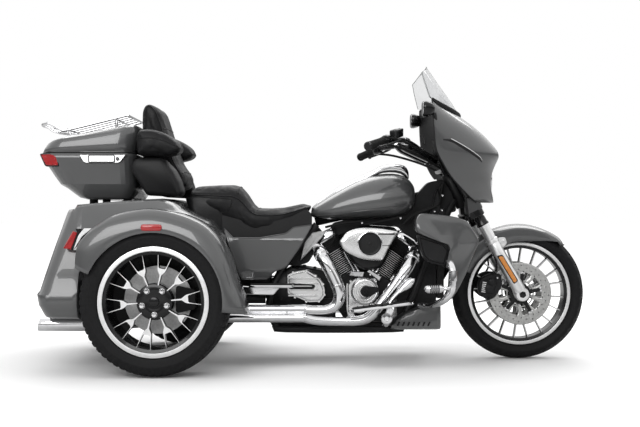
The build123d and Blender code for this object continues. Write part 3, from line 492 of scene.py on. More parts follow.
for kind, names in NODE_MATERIALS.items():
    for name in names.split():
        coat_node(name, kind, 1.5 if name in SOFTENED else 0)

# ---------------------------------------------------------------- wheels and tyres


def tyre(name, body, node, centre, y, radius, half, bead, rim_half, shoulder, flat, blocks, ribs, material):
    """Tyre with bulging walls, grooves round the crown at `ribs`, and `blocks` sipes across the shoulders.

    half and rim_half are half widths of tyre and rim. The crown drops by shoulder from its middle to its
    edge, flat being the power of that curve. A rib is (place, half width, depth).
    """
    middle = (radius + bead) / 2
    side = [(bead, rim_half - 11), (bead + 9.5, rim_half - 10.5), (bead + 13, rim_half + 1),
            (bead + 22, half - (half - rim_half) * 0.35), (middle - 2, half - 0.6), (middle, half),
            (middle + 2, half - 0.6), (radius - shoulder - 8, half * 0.975), (radius - shoulder, half * 0.93)]
    edge = half * 0.93

    def rise(place):
        return radius - shoulder * (place / edge) ** flat
    crown = [(rise(edge * k), edge * k) for k in spaced(13, 0.94, 0.0)
             if all(abs(edge * k - at) > width for at, width, deep in ribs)]
    for at, width, deep in ribs:
        for place, depth in ((at + width, 0), (at + width * 0.7, deep), (at - width * 0.7, deep),
                             (at - width, 0)):
            if place > 0:
                crown.append((rise(place) - depth, place))
    one = side + sorted(crown, key=lambda p: -p[1])
    profile = one + [(r, -place) for r, place in reversed(one) if place > 0.01]
    form = Form()
    count = blocks * 4
    rows = []
    for i in range(count):
        angle = 2 * pi * i / count
        notch = i % 4 == 0
        ring = []
        for r, place in profile:
            slant = angle + 0.012 * place / half
            deep = 0.0
            if notch and r > radius - shoulder - 9 and abs(place) > edge * 0.45:
                deep = 5.0 if r > radius - shoulder - 1 else 2.5
            ring.append((centre[0] + (r - deep) * sin(slant), y + place, centre[1] + (r - deep) * cos(slant)))
        rows.append(ring)
    form.skin(rows, close=True)
    return form.made(name, material, node, body, smooth=30)


def wheel(name, body, node, centre, y, side, rim_half, bead, bright, hub_r, face, depth, spoke, phase,
          finishes):
    """Wheel with ten forked spokes: dark body, machined faces and ring.

    Radii: bead (of the tyre seat), bright (inner edge of the machined ring), hub_r. Distances from the middle
    plane: rim_half (the rim's edge), face (the spokes' face). The spokes reach back by depth from their face.
    spoke is half of one spoke's outline, (across, radius), and phase turns the spokes by degrees.
    """
    lip = bright - 14
    form = Form()
    ring = [(bead + 7.6, rim_half - 6), (bead + 7.6, rim_half - 1), (bead + 5, rim_half),
            (bright + 2, rim_half), (bright, rim_half - 1.5), (bright - 1, rim_half - 7),
            (lip, rim_half - 12)]
    near = [(r, side * a) for r, a in ring]
    far = [(r, -side * a) for r, a in reversed(ring)]
    well = [(bead - 1, -side * (rim_half - 9)), (bead - 4, -side * (rim_half - 28)),
            (bead - 4, side * (rim_half - 28)), (bead - 1, side * (rim_half - 9))]
    inside = [(lip - 1, side * (rim_half - 26)), (lip - 1, -side * (rim_half - 26))]
    profile = near + inside + far + well
    kinds = [1] * 4 + [0] * (len(profile) - 4)
    form.turn(profile, (centre[0], y, centre[1]), (0, 1, 0), 120, kinds=kinds, closed=True)
    arm = spoke + [(-a, b) for a, b in reversed(spoke)]
    arms = Form()
    outline = [(centre[0] + a, centre[1] + b) for a, b in arm]
    arms.plate(outline, y + side * (face - depth), y + side * face, edge=0.8, top=1, deep=4)
    form.add(arms.spin([phase + 36 * k for k in range(10)], centre))
    on_axle = node == "front_wheel"  # whose hub ends round its axle, the rear hubs being closed
    back = -face * 0.9 - 20 if on_axle else -26
    hub = [(14.5, back), (hub_r - 4, back), (hub_r, 0), (hub_r, face - 9), (hub_r - 3, face - 2),
           (hub_r - 9, face + 1), (40, face + 2.5), (36, face + 1), (22, face + 1), (20, face + 7),
           (16, face + 9), (14.5 if on_axle else 0.5, face + 9.5)]
    form.turn([(r, side * a) for r, a in hub], (centre[0], y, centre[1]), (0, 1, 0), 60)
    return form.made(name, finishes, node, body, smooth=32)


tyre("front_tire", "front_wheel", "front_tyre", FRONT, 0, radius=319.3, half=65, bead=241, rim_half=50,
     shoulder=24, flat=2.1, blocks=34, ribs=[(0, 3, 4), (27, 2.2, 4)], material="tyre_front")
wheel("front_rim", "front_wheel", "front_wheel", FRONT, 0, side=-1, rim_half=50, bead=241, bright=233,
      hub_r=52, face=22, depth=42, spoke=[(7, 44), (5.6, 78), (7, 86), (36.5, 218), (30.5, 219), (3.4, 103),
                                          (1.2, 98)], phase=-4, finishes=["black_gloss", "machined_front"])
rear_spoke = [(2.8, 70), (4.4, 117), (8, 122), (16, 133), (19.5, 142), (22.5, 161), (32.4, 207), (29, 207),
              (18.6, 163), (15.4, 151), (11, 147)]
for side, word in SIDES:
    y = side * REAR_Y
    body = f"rear_wheel_{word}"
    tyre(f"rear_tire_{word}", body, f"rear_tyre_{word}", REAR, y, radius=325.4, half=106.5, bead=231,
         rim_half=98, shoulder=12, flat=3.2, blocks=62, ribs=[(20, 4, 7), (56, 4, 7)], material="tyre_rear")
    wheel(f"rear_rim_{word}", body, f"rear_wheel_{word}", REAR, y, side, rim_half=98, bead=231, bright=219,
          hub_r=80, face=60, depth=34, spoke=rear_spoke, phase=13, finishes=["black_gloss", "machined_rear"])
    nuts = Form()
    for a in [radians(72 * k - 36) for k in range(5)]:
        at = (REAR[0] + 56 * sin(a), y + side * 60, REAR[1] + 56 * cos(a))
        nuts.turn([(13, 0), (13, 2), (11, 3), (11, 10), (9, 12.5), (0.5, 13)], at, (0, side, 0), 24)
    nuts.made(f"wheel_nuts_{word}", "chrome", body=body, smooth=30, bevel=0.5)
    rear_disc = Form()
    for steps, profile in ((96, [(60, 0), (150, 0), (150, 5.5), (60, 5.5)]),
                           (48, [(41, 5.5), (66, 5.5), (66, 34), (41, 34)])):
        rear_disc.turn(profile, (REAR[0], y - side * 60, REAR[1]), (0, side, 0), steps, closed=True)
    rear_disc.made(f"rear_disc_{word}", "disc_rear", body=body)


def disc_track(y):
    """Drilled front disc: polar cells, some of them with a round hole."""
    form = Form()
    bounds = [60, 66, 104, 113, 122, 131, 140, 150]
    cells = 60
    for row, (r0, r1) in enumerate(zip(bounds, bounds[1:])):
        for k in range(cells):
            a0, a1 = 2 * pi * k / cells, 2 * pi * (k + 1) / cells
            drilled = 2 <= row <= 5 and (k + row * 2) % 5 == 0
            window = row == 1 and k % 6 in (1, 2, 3, 4)
            if window:
                continue

            def at(share_r, share_a):
                r, a = r0 + (r1 - r0) * share_r, a0 + (a1 - a0) * share_a
                return (FRONT[0] + r * sin(a), y, FRONT[1] + r * cos(a))
            corners = form.ring([at(0, 0), at(0.5, 0), at(1, 0), at(1, 0.5), at(1, 1), at(0.5, 1), at(0, 1),
                                 at(0, 0.5)])
            if drilled:
                hole = form.ring([at(0.5 + 0.33 * cos(t), 0.5 + 0.3 * sin(t)) for t in
                                  [radians(225 - 45 * i) for i in range(8)]])
                for i in range(8):
                    j = (i + 1) % 8
                    form.face((corners[i], corners[j], hole[j], hole[i]))
            else:
                form.face(corners)
    return form


for side, word in SIDES:
    track = disc_track(side * 72.6)
    track.made(f"front_disc_{word}", "disc_front", "front_discs", "front_wheel", smooth=30, merge=0.02,
               solid=-4.8 if side < 0 else 4.8)
    spider = Form()
    spider.turn([(15, 66.5), (46, 66.5), (50, 70), (50, 78), (30, 80), (28, 83), (15, 83)],
                (FRONT[0], 0, FRONT[1]), (0, side, 0), 48, closed=True)
    outline = [(-13, 44), (13, 44), (8, 60), (9, 98), (-9, 98), (-8, 60)]
    arm = Form().plate([(FRONT[0] + a, FRONT[1] + b) for a, b in outline], side * 77.6, side * 81, edge=1)
    spider.add(arm.spin([36 * k + 6 for k in range(0, 10, 2)], FRONT))
    spider.made(f"disc_carrier_{word}", "black_satin", body="front_wheel", smooth=30)
    buttons = Form()
    buttons.bolts([(FRONT[0] + 100 * sin(radians(72 * k + 6 + s)), side * 77.6,
                    FRONT[1] + 100 * cos(radians(72 * k + 6 + s))) for k in range(5) for s in (-4, 4)],
                  (0, side, 0), 5.5, 3.5)
    buttons.made(f"disc_buttons_{word}", "chrome", body="front_wheel")

# ---------------------------------------------------------------- bodywork


def mixed(table, at):
    """Row of a table interpolated at its first column."""
    at = min(max(at, table[0][0]), table[-1][0])
    for a, b in zip(table, table[1:]):
        if at <= b[0]:
            share = (at - a[0]) / (b[0] - a[0])
            return [p + (q - p) * share for p, q in zip(a, b)]


def signed(value, power):
    """Power of a value that keeps its sign."""
    return abs(value) ** power * (1 if value > 0 else -1)


def oval(x, low, mid, high, half, top_power=2.3, low_power=2.6, count=24):
    """Closed section across the vehicle at x, widest at mid."""
    ring = []
    for c, s in [(cos(a), sin(a)) for a in around(count)]:
        power = top_power if s > 0 else low_power
        tall = high - mid if s > 0 else mid - low
        ring.append((x, half * signed(c, 2 / power), mid + tall * signed(s, 2 / power)))
    return ring


def slab(z, x0, x1, half, radius, tilt=0.0):
    """Rounded rectangle seen from above, its front lifted by tilt degrees."""
    ring = []
    lift, middle = tan(radians(tilt)), (x0 + x1) / 2
    for cx, cy, start in ((x1 - radius, half - radius, 0), (x0 + radius, half - radius, 90),
                          (x0 + radius, -half + radius, 180), (x1 - radius, -half + radius, 270)):
        for a in [radians(start + 15 * s) for s in range(7)]:
            x = cx + radius * cos(a)
            ring.append((x, cy + radius * sin(a), z + lift * (x - middle)))
    return ring


def grid(place, across, along):
    """Open surface form from a function of two shares."""
    return Form().skin([[place(t, v) for t in across] for v in along], loop=False, caps=(False, False))


tank_rows = [  # x, low, middle, high, half width
    (-10, 690, 708, 733, 66), (14, 682, 706, 752, 92), (70, 675, 716, 790, 122),
    (141, 672, 733, 832, 143), (214, 672, 746, 870, 158), (287, 675, 757, 894, 169),
    (359, 680, 768, 905, 172), (420, 688, 778, 902, 166), (462, 702, 786, 882, 146),
    (486, 722, 794, 852, 118), (496, 752, 800, 828, 78)]
Form().skin([oval(*row) for row in tank_rows]).made("tank_shell", "paint", "fuel_tank", sub=1, smooth=80)
seam = [(x, -half * 0.985, mid - (mid - low) * 0.42) for x, low, mid, high, half in tank_rows[1:-1]]
Form().pipe(seam, 1.6, 8).mirror().made("tank_seam", "paint_shade")
console_rows = [(-6, 742, 60, 30), (70, 800, 48, 42), (145, 848, 40, 46), (220, 885, 36, 48),
                (287, 909, 34, 50), (317, 934, 34, 50), (370, 947, 38, 50), (437, 947, 44, 48),
                (458, 934, 60, 44), (470, 905, 40, 38)]
console = Form().skin([oval(x, top - deep, top - deep * 0.6, top, half, 3.2, 3.0, 20)
                       for x, top, deep, half in console_rows])
console.made("console_shell", "chrome", "tank_console", sub=1, smooth=80)

# Fairing: level rows between its near edge and its nose.
fairing_rows = [  # z, edge x, nose x, half width, bluntness
    (758, 776, 884, 150, 2.0), (785, 738, 878, 196, 2.1), (850, 666, 872, 262, 2.3),
    (894, 627, 874, 288, 2.4), (940, 600, 886, 308, 2.5), (982, 574, 909, 320, 2.6),
    (1008, 566, 898, 325, 2.6), (1075, 558, 838, 330, 2.5), (1124, 555, 782, 330, 2.4),
    (1171, 553, 713, 324, 2.3), (1250, 551, 590, 296, 2.2)]


def fairing_point(t, v, out=0.0):
    """Point of the fairing's skin at t across (-1 right, 1 left) and v up, moved out along its level."""
    low, high = 758, 1171 + 66 * abs(t) ** 2.2
    z = low + v * (high - low)
    _, edge, nose, half, blunt = mixed(fairing_rows, z)
    return Vector((nose - (nose - edge) * abs(t) ** blunt + out, (half + out) * signed(t, 0.92), z))


across = spaced(33, -1, 1)
form = grid(fairing_point, across, spaced(19))
shell = form.made("fairing_shell", "paint", "fairing_outer", "steering", sub=1, smooth=80, solid=5)
carve(shell, Form().turn([(95, 0), (95, 160)], (780, 0, LAMP[1]), (1, 0, 0), 72))
rim = [fairing_point(t, v, 0.5) for t, v in [(-1, v) for v in spaced(9)] + [(t, 1) for t in across[1:-1]]
       + [(1, v) for v in spaced(9, 1, 0)]]
Form().pipe(rim, 3.2, 8, smooth=2).made("fairing_rim", "plastic", body="steering")
for sign, word in SIDES:
    slit = []
    for z, x in ((1046, 603), (1043, 640), (1020, 688), (990, 742), (964, 783), (948, 797)):
        _, edge, nose, half, blunt = mixed(fairing_rows, z)
        t = sign * ((nose - x) / (nose - edge)) ** (1 / blunt)
        slit.append(Vector((x, (half + 1) * signed(t, 0.92), z)))
    vent = Form().pipe(slit, [2, 6, 7, 7, 6, 2], 10, scale=(0.7, 0.7, 1))
    vent.made(f"vent_slit_{word}", "black_gloss", body="steering")
    lip = [p + Vector((0, sign * 1.5, 9)) for p in slit[1:]]
    Form().pipe(lip, 2.2, 8).made(f"vent_lip_{word}", "satin", body="steering")

bezel = Form()
bezel.turn([(84, -40), (92, -30), (93, 4), (91, 10), (88, 12), (84, 9), (82, -4), (80, -40)],
           (LAMP[0], 0, LAMP[1]), (1, 0, 0), 72, closed=True)
bezel.made("lamp_bezel", "chrome", body="steering", smooth=30)
lens = Form()
lens.turn([(83, -2), (80, 3), (60, 9), (34, 13), (0.5, 15)], (LAMP[0], 0, LAMP[1]), (1, 0, 0), 64)
lens.made("lamp_lens", "lens_clear", "headlamp", "steering")
bowl = Form()
bowl.turn([(81, -4), (70, -26), (45, -44), (0.5, -52), (0.4, -54), (47, -47), (74, -29), (84, -6)],
          (LAMP[0], 0, LAMP[1]), (1, 0, 0), 48)
bowl.made("lamp_bowl", "chrome", body="steering")
bulbs = Form()
for dy, dz in ((-26, 18), (26, 18), (0, -28)):
    bulbs.turn([(24, -30), (24, -12), (21, -6), (12, -3), (0.5, -2)], (LAMP[0], dy, LAMP[1] + dz),
               (1, 0, 0), 32)
bulbs.made("lamp_projectors", "lens_clear", body="steering")

# Windshield and the strip under it.
screen_rows = [(1140, 560, 745, 318), (1178, 556, 715, 312), (1230, 546, 684, 292), (1320, 520, 620, 262),
               (1380, 506, 578, 232), (1424, 500, 548, 190)]


def screen_point(t, v):
    """Point of the windshield at t across and v up."""
    low = 1180 + 62 * abs(t) ** 2.2
    high = 1415 - 50 * abs(t) ** 3
    z = low + v * (high - low)
    _, edge, nose, half = mixed(screen_rows, z)
    return Vector((nose - (nose - edge) * abs(t) ** 2.0, half * signed(t, 0.95), z))


screen = grid(screen_point, spaced(29, -1, 1), spaced(13))
screen.made("screen", "glass", "windshield", "steering", sub=1, smooth=80, solid=3.2)
# The grey edge tube is a painted reflection of what the clear edge refracts and mirrors.
edge = [screen_point(t, v) for t, v in [(-1, v) for v in spaced(9, 0.02, 1)]
        + [(t, 1) for t in spaced(27, -0.93, 0.93)] + [(1, v) for v in spaced(9, 1, 0.02)]]
Form().pipe(edge, 2.4, 8, smooth=2).made("screen_edge", "edge_glass", body="steering")
strip = [screen_point(t, 0) + Vector((3, 0, -2)) for t in spaced(25, -0.97, 0.97)]
Form().pipe(strip, 7, 10, smooth=2, scale=(0.8, 0.8, 1.3)).made("screen_strip", "plastic", body="steering")

# Rear body: half sections of thirteen points from the deck's middle out and down to the floor's middle.
WELL = 349.0
deck = [(-1120, 716), (-1080, 735), (-1052, 745), (-803, 766), (-640, 774), (-600, 735), (-560, 708),
        (-465, 668), (-405, 594)]
widths = [(-1230, 488), (-1100, 500), (-1000, 505), (-650, 505), (-520, 475), (-405, 440)]


def tail_section(x):
    """Half section behind the wheels."""
    top, wide = mixed(deck, x)[1], mixed(widths, x)[1]
    return [(0, top + 3), (380, top + 2), (wide - 8, top - 1), (wide + 14, top - 15), (566, 560), (592, 440),
            (598, 367), (606, 352), (606, 306), (586, 258), (560, 247), (300, 243), (0, 243)]


def well_section(x):
    """Half section over a wheel, its side cut away by the wheel's arch."""
    top, wide = mixed(deck, x)[1], mixed(widths, x)[1]
    arch = REAR[1] + sqrt(max(WELL ** 2 - (x - REAR[0]) ** 2, 120.0 ** 2))
    low = min(arch, top - 45)
    return [(0, top + 3), (380, top + 2), (wide - 8, top - 1), (wide + 14, top - 15),
            (min(wide + 50, 566), top - (top - low) * 0.5), (min(wide + 88, 592), low + 12),
            (min(wide + 88, 592), low), (530, low), (480, low), (466, low - 4), (455, low - 8),
            (452, min(452, low - 12)), (0, 446)]


def tail_face(y, z):
    """Rear face at a place: leaning forward, bowed, with a bumper that stands out under its crease."""
    lean = 0.32 * max(0.0, z - 366) - 12 * max(0.0, min(1.0, (366 - z) / 14)) + 0.3 * max(0.0, 325 - z) ** 1.1
    return -1216 + lean + 14 * (abs(y) / 500) ** 3


stations = []
for inward, squeeze, drop in ((0, 0.80, 12), (1, 0.86, 4), (4, 0.90, 2), (11, 0.945, 1), (25, 0.98, 0),
                              (48, 1.0, 0), (74, 1.0, 0)):
    ring = []
    for y, z in tail_section(-1100):
        z = z if z < 700 else z - drop
        ring.append((min(tail_face(y * squeeze, z) + inward, inward / 6 - 1066), y * squeeze,
                     z if z > 300 else z + drop))
    stations.append(ring)
stations.append([(-1040, y, z) for y, z in tail_section(-1040)])
stations.append([(-1018, y, z) for y, z in tail_section(-1018)])
for x in (-1012, -980, -930, -860, -770, -679, -620, -590, -540, -465, -425, -407):
    stations.append([(x, y, z) for y, z in well_section(x)])
body = Form().skin([ring + [(x, -y, z) for x, y, z in reversed(ring[1:-1])] for ring in stations]).made(
    "body_shell", ["paint", "plastic"], "rear_body", bevel=7, smooth=42)
gap = rounded(oblong(-335, 335, 366, 704), 44)
room = rounded(oblong(-400, 400, 457, 690), 44)
carve(body, Form().skin([[(x, p.x, p.y) for p in section] for x, section in (
    (-1300, gap), (-1136, gap), (-1100, room), (-562, room))], 1))

# Rear fenders: sections from the body out over the ridge to the lip, all round the wheel.
ridge = [(-1012, 474), (-1010, 520), (-1000, 572), (-974, 604), (-944, 629), (-901, 655), (-860, 673),
         (-816, 687), (-757, 699), (-697, 705), (-630, 697), (-561, 678), (-500, 653), (-454, 623),
         (-418, 578), (-390, 529), (-368, 470), (-348, 402), (-322, 345), (-303, 276)]
form = Form()
rows = []
for p in smooth_path([Vector((x, z, 0)) for x, z in ridge], 2):
    x, z = p.x, p.y
    dx, dz = x - REAR[0], z - REAR[1]
    reach = hypot(dx, dz)
    ux, uz = dx / reach, dz / reach
    grown = min(1.0, max(0.0, (x + 1015) / 160))

    def at(share, y, extra=0.0):
        r = 298 + (reach - 298) * share + extra * grown
        return (REAR[0] + ux * r, y, REAR[1] + uz * r)
    rows.append([at(1, 452, 26), at(1, 520, 27), at(1, 580, 26), at(1, 636, 22), at(1, 652, 17),
                 at(1, 668, 2), at(0.975, 673, -1), at(0.9, 678), at(0.6, 687), at(0.3, 693), at(0, 694, 8),
                 at(0, 692, 1), at(0, 684, 0), at(0, 650, 4), at(0, 640, 30 if reach > 330 else 6)])
form.skin([[(x, -y, z) for x, y, z in row] for row in rows], loop=False, caps=(False, False))
form.mirror()
form.made("fender_shells", "paint", "rear_fenders", solid=4, smooth=30)

# ---------------------------------------------------------------- top case and rack
base_levels = [  # z, x rear, x front, half width, corner radius
    (772, -1062, -858, 235, 50), (780, -1092, -850, 252, 56), (800, -1118, -838, 268, 64),
    (822, -1146, -829, 280, 72), (842, -1180, -826, 290, 80), (880, -1208, -826, 291, 84),
    (925, -1238, -826, 295, 88), (960, -1260, -826, 298, 90), (984, -1272, -826, 300, 90)]
Form().skin([slab(*row) for row in base_levels], caps=(True, False)).made(
    "case_base_shell", "paint", "top_case_base", solid=4, smooth=14)
lid_levels = [  # z at the rear, z at the front, x rear, x front, half width, corner radius
    (989, 989, -1264, -826, 300, 90), (1010, 1034, -1254, -826, 300, 89),
    (1032, 1072, -1238, -826, 297, 84), (1044, 1098, -1222, -826, 290, 78),
    (1051, 1112, -1204, -827, 278, 70), (1056, 1120, -1186, -831, 262, 62),
    (1060, 1124, -1168, -838, 244, 52)]
Form().skin([slab((low + high) / 2, x0, x1, half, r, degrees(atan2(high - low, x1 - x0)))
             for low, high, x0, x1, half, r in lid_levels], caps=(False, True)).made(
    "case_lid_shell", "paint", "top_case_lid", "top_case_lid", solid=4, smooth=24)
Form().skin([slab(z, -1268, -828, 297, 88) for z in (976, 987)], caps=(False, False)).made(
    "case_seal", "rubber", solid=9)
feet = Form()
for x, z in ((-1040, 742), (-880, 757)):
    for y in (-150, 150):
        feet.turn([(30, 0), (32, 3), (30, 8), (20, 12), (20, 50)], (x, y, z), (0, 0, 1), 28)
feet.made("case_feet", "rubber", smooth=34)


def flat(side, name, material, outline, inner, outer, edge=0.0, deep=None, node=(), smooth=40):
    """A plate on one side, from inner to outer y. The right one replaces a CAD node that has both."""
    Form().plate(outline, side * inner, side * outer, edge=edge, deep=deep).made(
        name, material, node if side < 0 else (), smooth=smooth)


for side, word in SIDES:
    flat(side, f"latch_bezel_{word}", "bright", rounded(
        [(-1079, 980), (-1057, 942), (-1040, 937), (-898, 937), (-884, 942), (-856, 980)], 7), 286, 306, 4, 5,
        "top_case_latch")
    flat(side, f"latch_rim_{word}", "black_gloss", rounded(oblong(-1034, -910, 941, 976), 6), 302, 307)
    flat(side, f"latch_panel_{word}", "bright", rounded(oblong(-1030, -914, 944, 973), 5), 304, 309, 1.5)
    lock = Form().turn([(9, -2), (9, 4), (8, 5), (0.5, 5)], (-898, side * 305, 958), (0, side, 0), 24)
    lock.turn([(3, 4), (3, 5.6), (0.5, 5.6)], (-898, side * 305, 958), (0, side, 0), 12)
    lock.made(f"latch_lock_{word}", "chrome", smooth=30)
    flat(side, f"case_lamp_{word}", "lens_red", rounded(
        [(-1259, 981), (-1184, 981), (-1172, 926), (-1232, 926)], 9), 268, 297, 5, node="rear_lamps")
    flat(side, f"case_lamp_frame_{word}", "black_gloss", rounded(
        [(-1262, 983), (-1180, 983), (-1168, 923), (-1235, 923)], 10), 262, 294.5, 2)
    flat(side, f"tail_lamp_{word}", "lens_red", rounded(
        [(-1076, 556), (-1040, 550), (-1012, 622), (-1034, 630)], 5), 575, 612, 4)
    flat(side, f"tail_lamp_band_{word}", "black_gloss", [
        (-1042, 549), (-1026, 549), (-984, 640), (-1022, 640), (-1014, 622)], 575, 616, 2)
    flat(side, f"tail_lamp_white_{word}", "lens_white", rounded(
        [(-1024, 549), (-1012, 549), (-984, 606), (-940, 642), (-978, 642), (-1002, 612)], 3), 575, 646, 3)
    flat(side, f"side_marker_{word}", "lens_red", rounded(oblong(-726, -637, 632, 660), 13), 690, 701, 4,
         smooth=50)

rack = Form()
for y in (-200, -120, -40, 40, 120, 200):
    tip = -1312 + 66 * (y / 200) ** 2
    rack.pipe([(tip, y, 1131), (tip + 22, y, 1124), (tip + 60, y, 1101), (-1170, y, 1098), (-1140, y, 1103),
               (-1020, y, 1132), (-900, y, 1162), (-868, y, 1170)], 5 if abs(y) < 200 else 7, 12)
rack.pipe([(-1246, -200, 1131), (-1291, -118, 1132), (-1312, 0, 1132), (-1291, 118, 1132),
           (-1246, 200, 1131)], 6.5, 12, smooth=4)
for x, z, reach in ((-872, 1169, 200), (-1150, 1101, 206), (-930, 1154, 206)):
    rack.pipe([(x, -reach, z), (x, 0, z), (x, reach, z)], 6, 12)
for x, z in ((-1150, 1101), (-930, 1154)):
    for y in (-180, 180):
        rack.pipe([(x, y, z), (x + 4, y, z - 22), (x + 4, y, 1062)], 7, 12)
        rack.turn([(15, -3), (15, 3), (10, 6), (7, 7)], (x + 4, y, 1070 if x < -1000 else 1086),
                  (-0.15, 0, 1), 20)
rack.made("rack_bars", "chrome", "luggage_rack", "top_case_lid", smooth=60)

# ---------------------------------------------------------------- seats

def padded(name, form, stands_for, swell=7.0):
    """Leather pad: the form is remeshed, blown up as cloth, capped, and smoothed."""
    piece = form.made(name, "leather", stands_for)
    remesh = piece.modifiers.new("remesh", "REMESH")
    remesh.mode = "VOXEL"
    remesh.voxel_size = 0.005
    apply_all(piece)
    rest = [v.co.copy() for v in piece.data.vertices]
    cloth = piece.modifiers.new("cloth", "CLOTH")
    cloth.settings.quality = 4
    cloth.settings.use_pressure = True
    cloth.settings.uniform_pressure_force = 4.0
    cloth.settings.effector_weights.gravity = 0.0
    cloth.settings.tension_stiffness = cloth.settings.compression_stiffness = 12
    cloth.point_cache.frame_start, cloth.point_cache.frame_end = 1, 20
    for number in range(1, 21):
        scene.frame_set(number)
    apply_all(piece)
    for v, was in zip(piece.data.vertices, rest):
        move = v.co - was
        if move.length > swell / 1000:
            v.co = was + move.normalized() * swell / 1000
    scene.frame_set(1)
    even = piece.modifiers.new("even", "SMOOTH")
    even.factor, even.iterations = 0.5, 4
    finer = piece.modifiers.new("finer", "SUBSURF")
    finer.levels = finer.render_levels = 1
    piece.data.polygons.foreach_set("use_smooth", [True] * len(piece.data.polygons))
    return piece


def surface(piece):
    """Search tree of a finished piece's faces, in millimetres."""
    graph = bpy.context.evaluated_depsgraph_get()
    shown = piece.evaluated_get(graph)
    mesh = shown.to_mesh()
    tree = BVHTree.FromPolygons([piece.matrix_world @ v.co * 1000 for v in mesh.vertices],
                                [p.vertices[:] for p in mesh.polygons])
    shown.to_mesh_clear()
    return tree


def stitched(name, piece, points, r=2.6, closed=False):
    """Piping that follows a pad's surface near the given points."""
    tree = surface(piece)
    path = []
    for p in smooth_path(points, 8, closed):
        at, normal, _, _ = tree.find_nearest(p)
        path.append(at + normal * (r * 0.4 - 0.8))
    if closed:
        path.append(path[0])
    return Form().pipe(path, r, 8, smooth=1).made(name, "leather", smooth=60)


base = Form().cut([(-430, 585), (-430, 700), (-300, 664), (-200, 664), (-100, 692), (-30, 727), (-5, 702),
                   (-5, 640), (-90, 628), (-126, 600), (-248, 578)], 8, -168, 168, 3)
base.made("seat_base", "black_satin", smooth=40)
pan = Form().skin([slab(z, x0, -400, half, 40) for z, x0, half in (
    (600, -560, 150), (604, -566, 156), (700, -588, 166), (776, -606, 170), (786, -602, 164))])
pan.made("seat_pan", "black_satin", smooth=40)
seat_sections = [  # x, low, middle, high, half width, power over, power under
    (-590, 796, 806, 822, 120, 2.6, 3), (-580, 772, 798, 830, 158, 2.8, 3),
    (-530, 712, 776, 836, 176, 3.0, 3), (-440, 652, 764, 841, 184, 3.0, 3),
    (-380, 618, 748, 842, 184, 2.9, 3), (-348, 606, 726, 834, 184, 2.8, 3),
    (-318, 603, 700, 796, 186, 2.8, 3), (-292, 603, 682, 752, 188, 2.9, 3),
    (-268, 604, 674, 730, 190, 3.0, 3), (-205, 612, 674, 728, 186, 3.0, 3),
    (-140, 624, 682, 732, 170, 2.9, 3), (-84, 660, 706, 744, 140, 2.7, 3),
    (-40, 694, 726, 755, 108, 2.5, 3), (-8, 738, 746, 757, 72, 2.4, 3)]
form = Form().skin([oval(x, low + 4, mid, high - 4, half - 5, top, under, 28)
                    for x, low, mid, high, half, top, under in seat_sections])
seat = padded("seat_pad", form, "seat")
for sign, word in SIDES:
    stitched(f"seat_welt_{word}", seat, [(-584, sign * 168, 806), (-520, sign * 178, 800),
                                         (-430, sign * 184, 796), (-378, sign * 180, 792),
                                         (-330, sign * 180, 770), (-300, sign * 180, 735),
                                         (-268, sign * 182, 712), (-205, sign * 182, 708),
                                         (-140, sign * 166, 714), (-84, sign * 134, 728),
                                         (-30, sign * 92, 744)], 3)
    stitched(f"seat_insert_{word}", seat, [(-579, sign * 176, 790), (-490, sign * 186, 786),
                                           (-407, sign * 186, 782), (-380, sign * 186, 768),
                                           (-407, sign * 186, 713), (-470, sign * 186, 698),
                                           (-515, sign * 180, 700), (-560, sign * 176, 745)], 2.4,
             closed=True)
stitched("seat_cross_seam", seat, [(-345, -170, 822), (-345, -80, 842), (-345, 80, 842), (-345, 170, 822)],
         2.6)
stitched("seat_rider_seam", seat, [(-262, -150, 732), (-256, -60, 738), (-256, 60, 738), (-262, 150, 732)],
         2.2)

back_side = [(-806, 805), (-810, 1100), (-808, 1196), (-800, 1224), (-784, 1233), (-764, 1230), (-734, 1200),
             (-700, 1095), (-668, 1000), (-646, 945), (-610, 893), (-592, 845), (-606, 830), (-760, 806)]
back = padded("backrest_pad", Form().layers(rounded(back_side, 12, 2),
                                            ((-162, 22), (-156, 10), (-142, 2), (-110, 0), (0, 0), (110, 0),
                                             (142, 2), (156, 10), (162, 22))), "backrest", swell=6)
for z, x in ((1010, -660), (1060, -676), (1115, -694), (905, -612)):
    stitched(f"backrest_channel_{z}", back, [(x, -150, z), (x + 4, -70, z), (x + 4, 70, z), (x, 150, z)], 2.4)
for sign, word in SIDES:
    stitched(f"backrest_welt_{word}", back, [(-800, sign * 158, 1180), (-786, sign * 156, 1220),
                                             (-760, sign * 156, 1214), (-724, sign * 158, 1150),
                                             (-690, sign * 158, 1050), (-655, sign * 158, 955),
                                             (-612, sign * 158, 880)], 2.8)
arm_side = [(-808, 1076), (-797, 1092), (-732, 1091), (-671, 1071), (-625, 1037), (-600, 1004), (-612, 990),
            (-662, 974), (-808, 976)]
for sign, word in SIDES:
    form = Form().layers(rounded(arm_side, 16, 3), [(sign * y, amount) for y, amount in (
        (172, 14), (178, 5), (200, 0), (300, 0), (322, 4), (334, 12), (338, 24))])
    arm = padded(f"armrest_{word}", form, "armrests" if sign < 0 else (), swell=5)
    stitched(f"armrest_seam_{word}", arm, [(-800, sign * 330, 1052), (-730, sign * 338, 1050),
                                           (-668, sign * 336, 1034), (-615, sign * 320, 1004)], 2.2)
    pod_side = [(-808, 964), (-832, 945), (-840, 908), (-822, 877), (-766, 789), (-613, 781), (-598, 803),
                (-613, 858), (-641, 912), (-684, 956), (-700, 964)]
    pod = Form().layers(rounded(pod_side, 14, 3), [(sign * y, amount) for y, amount in (
        (170, 8), (176, 2), (280, 0), (305, 3), (320, 10), (328, 22))])
    pod.made(f"speaker_pod_{word}", "plastic", "speaker_pods" if sign < 0 else (), smooth=60)

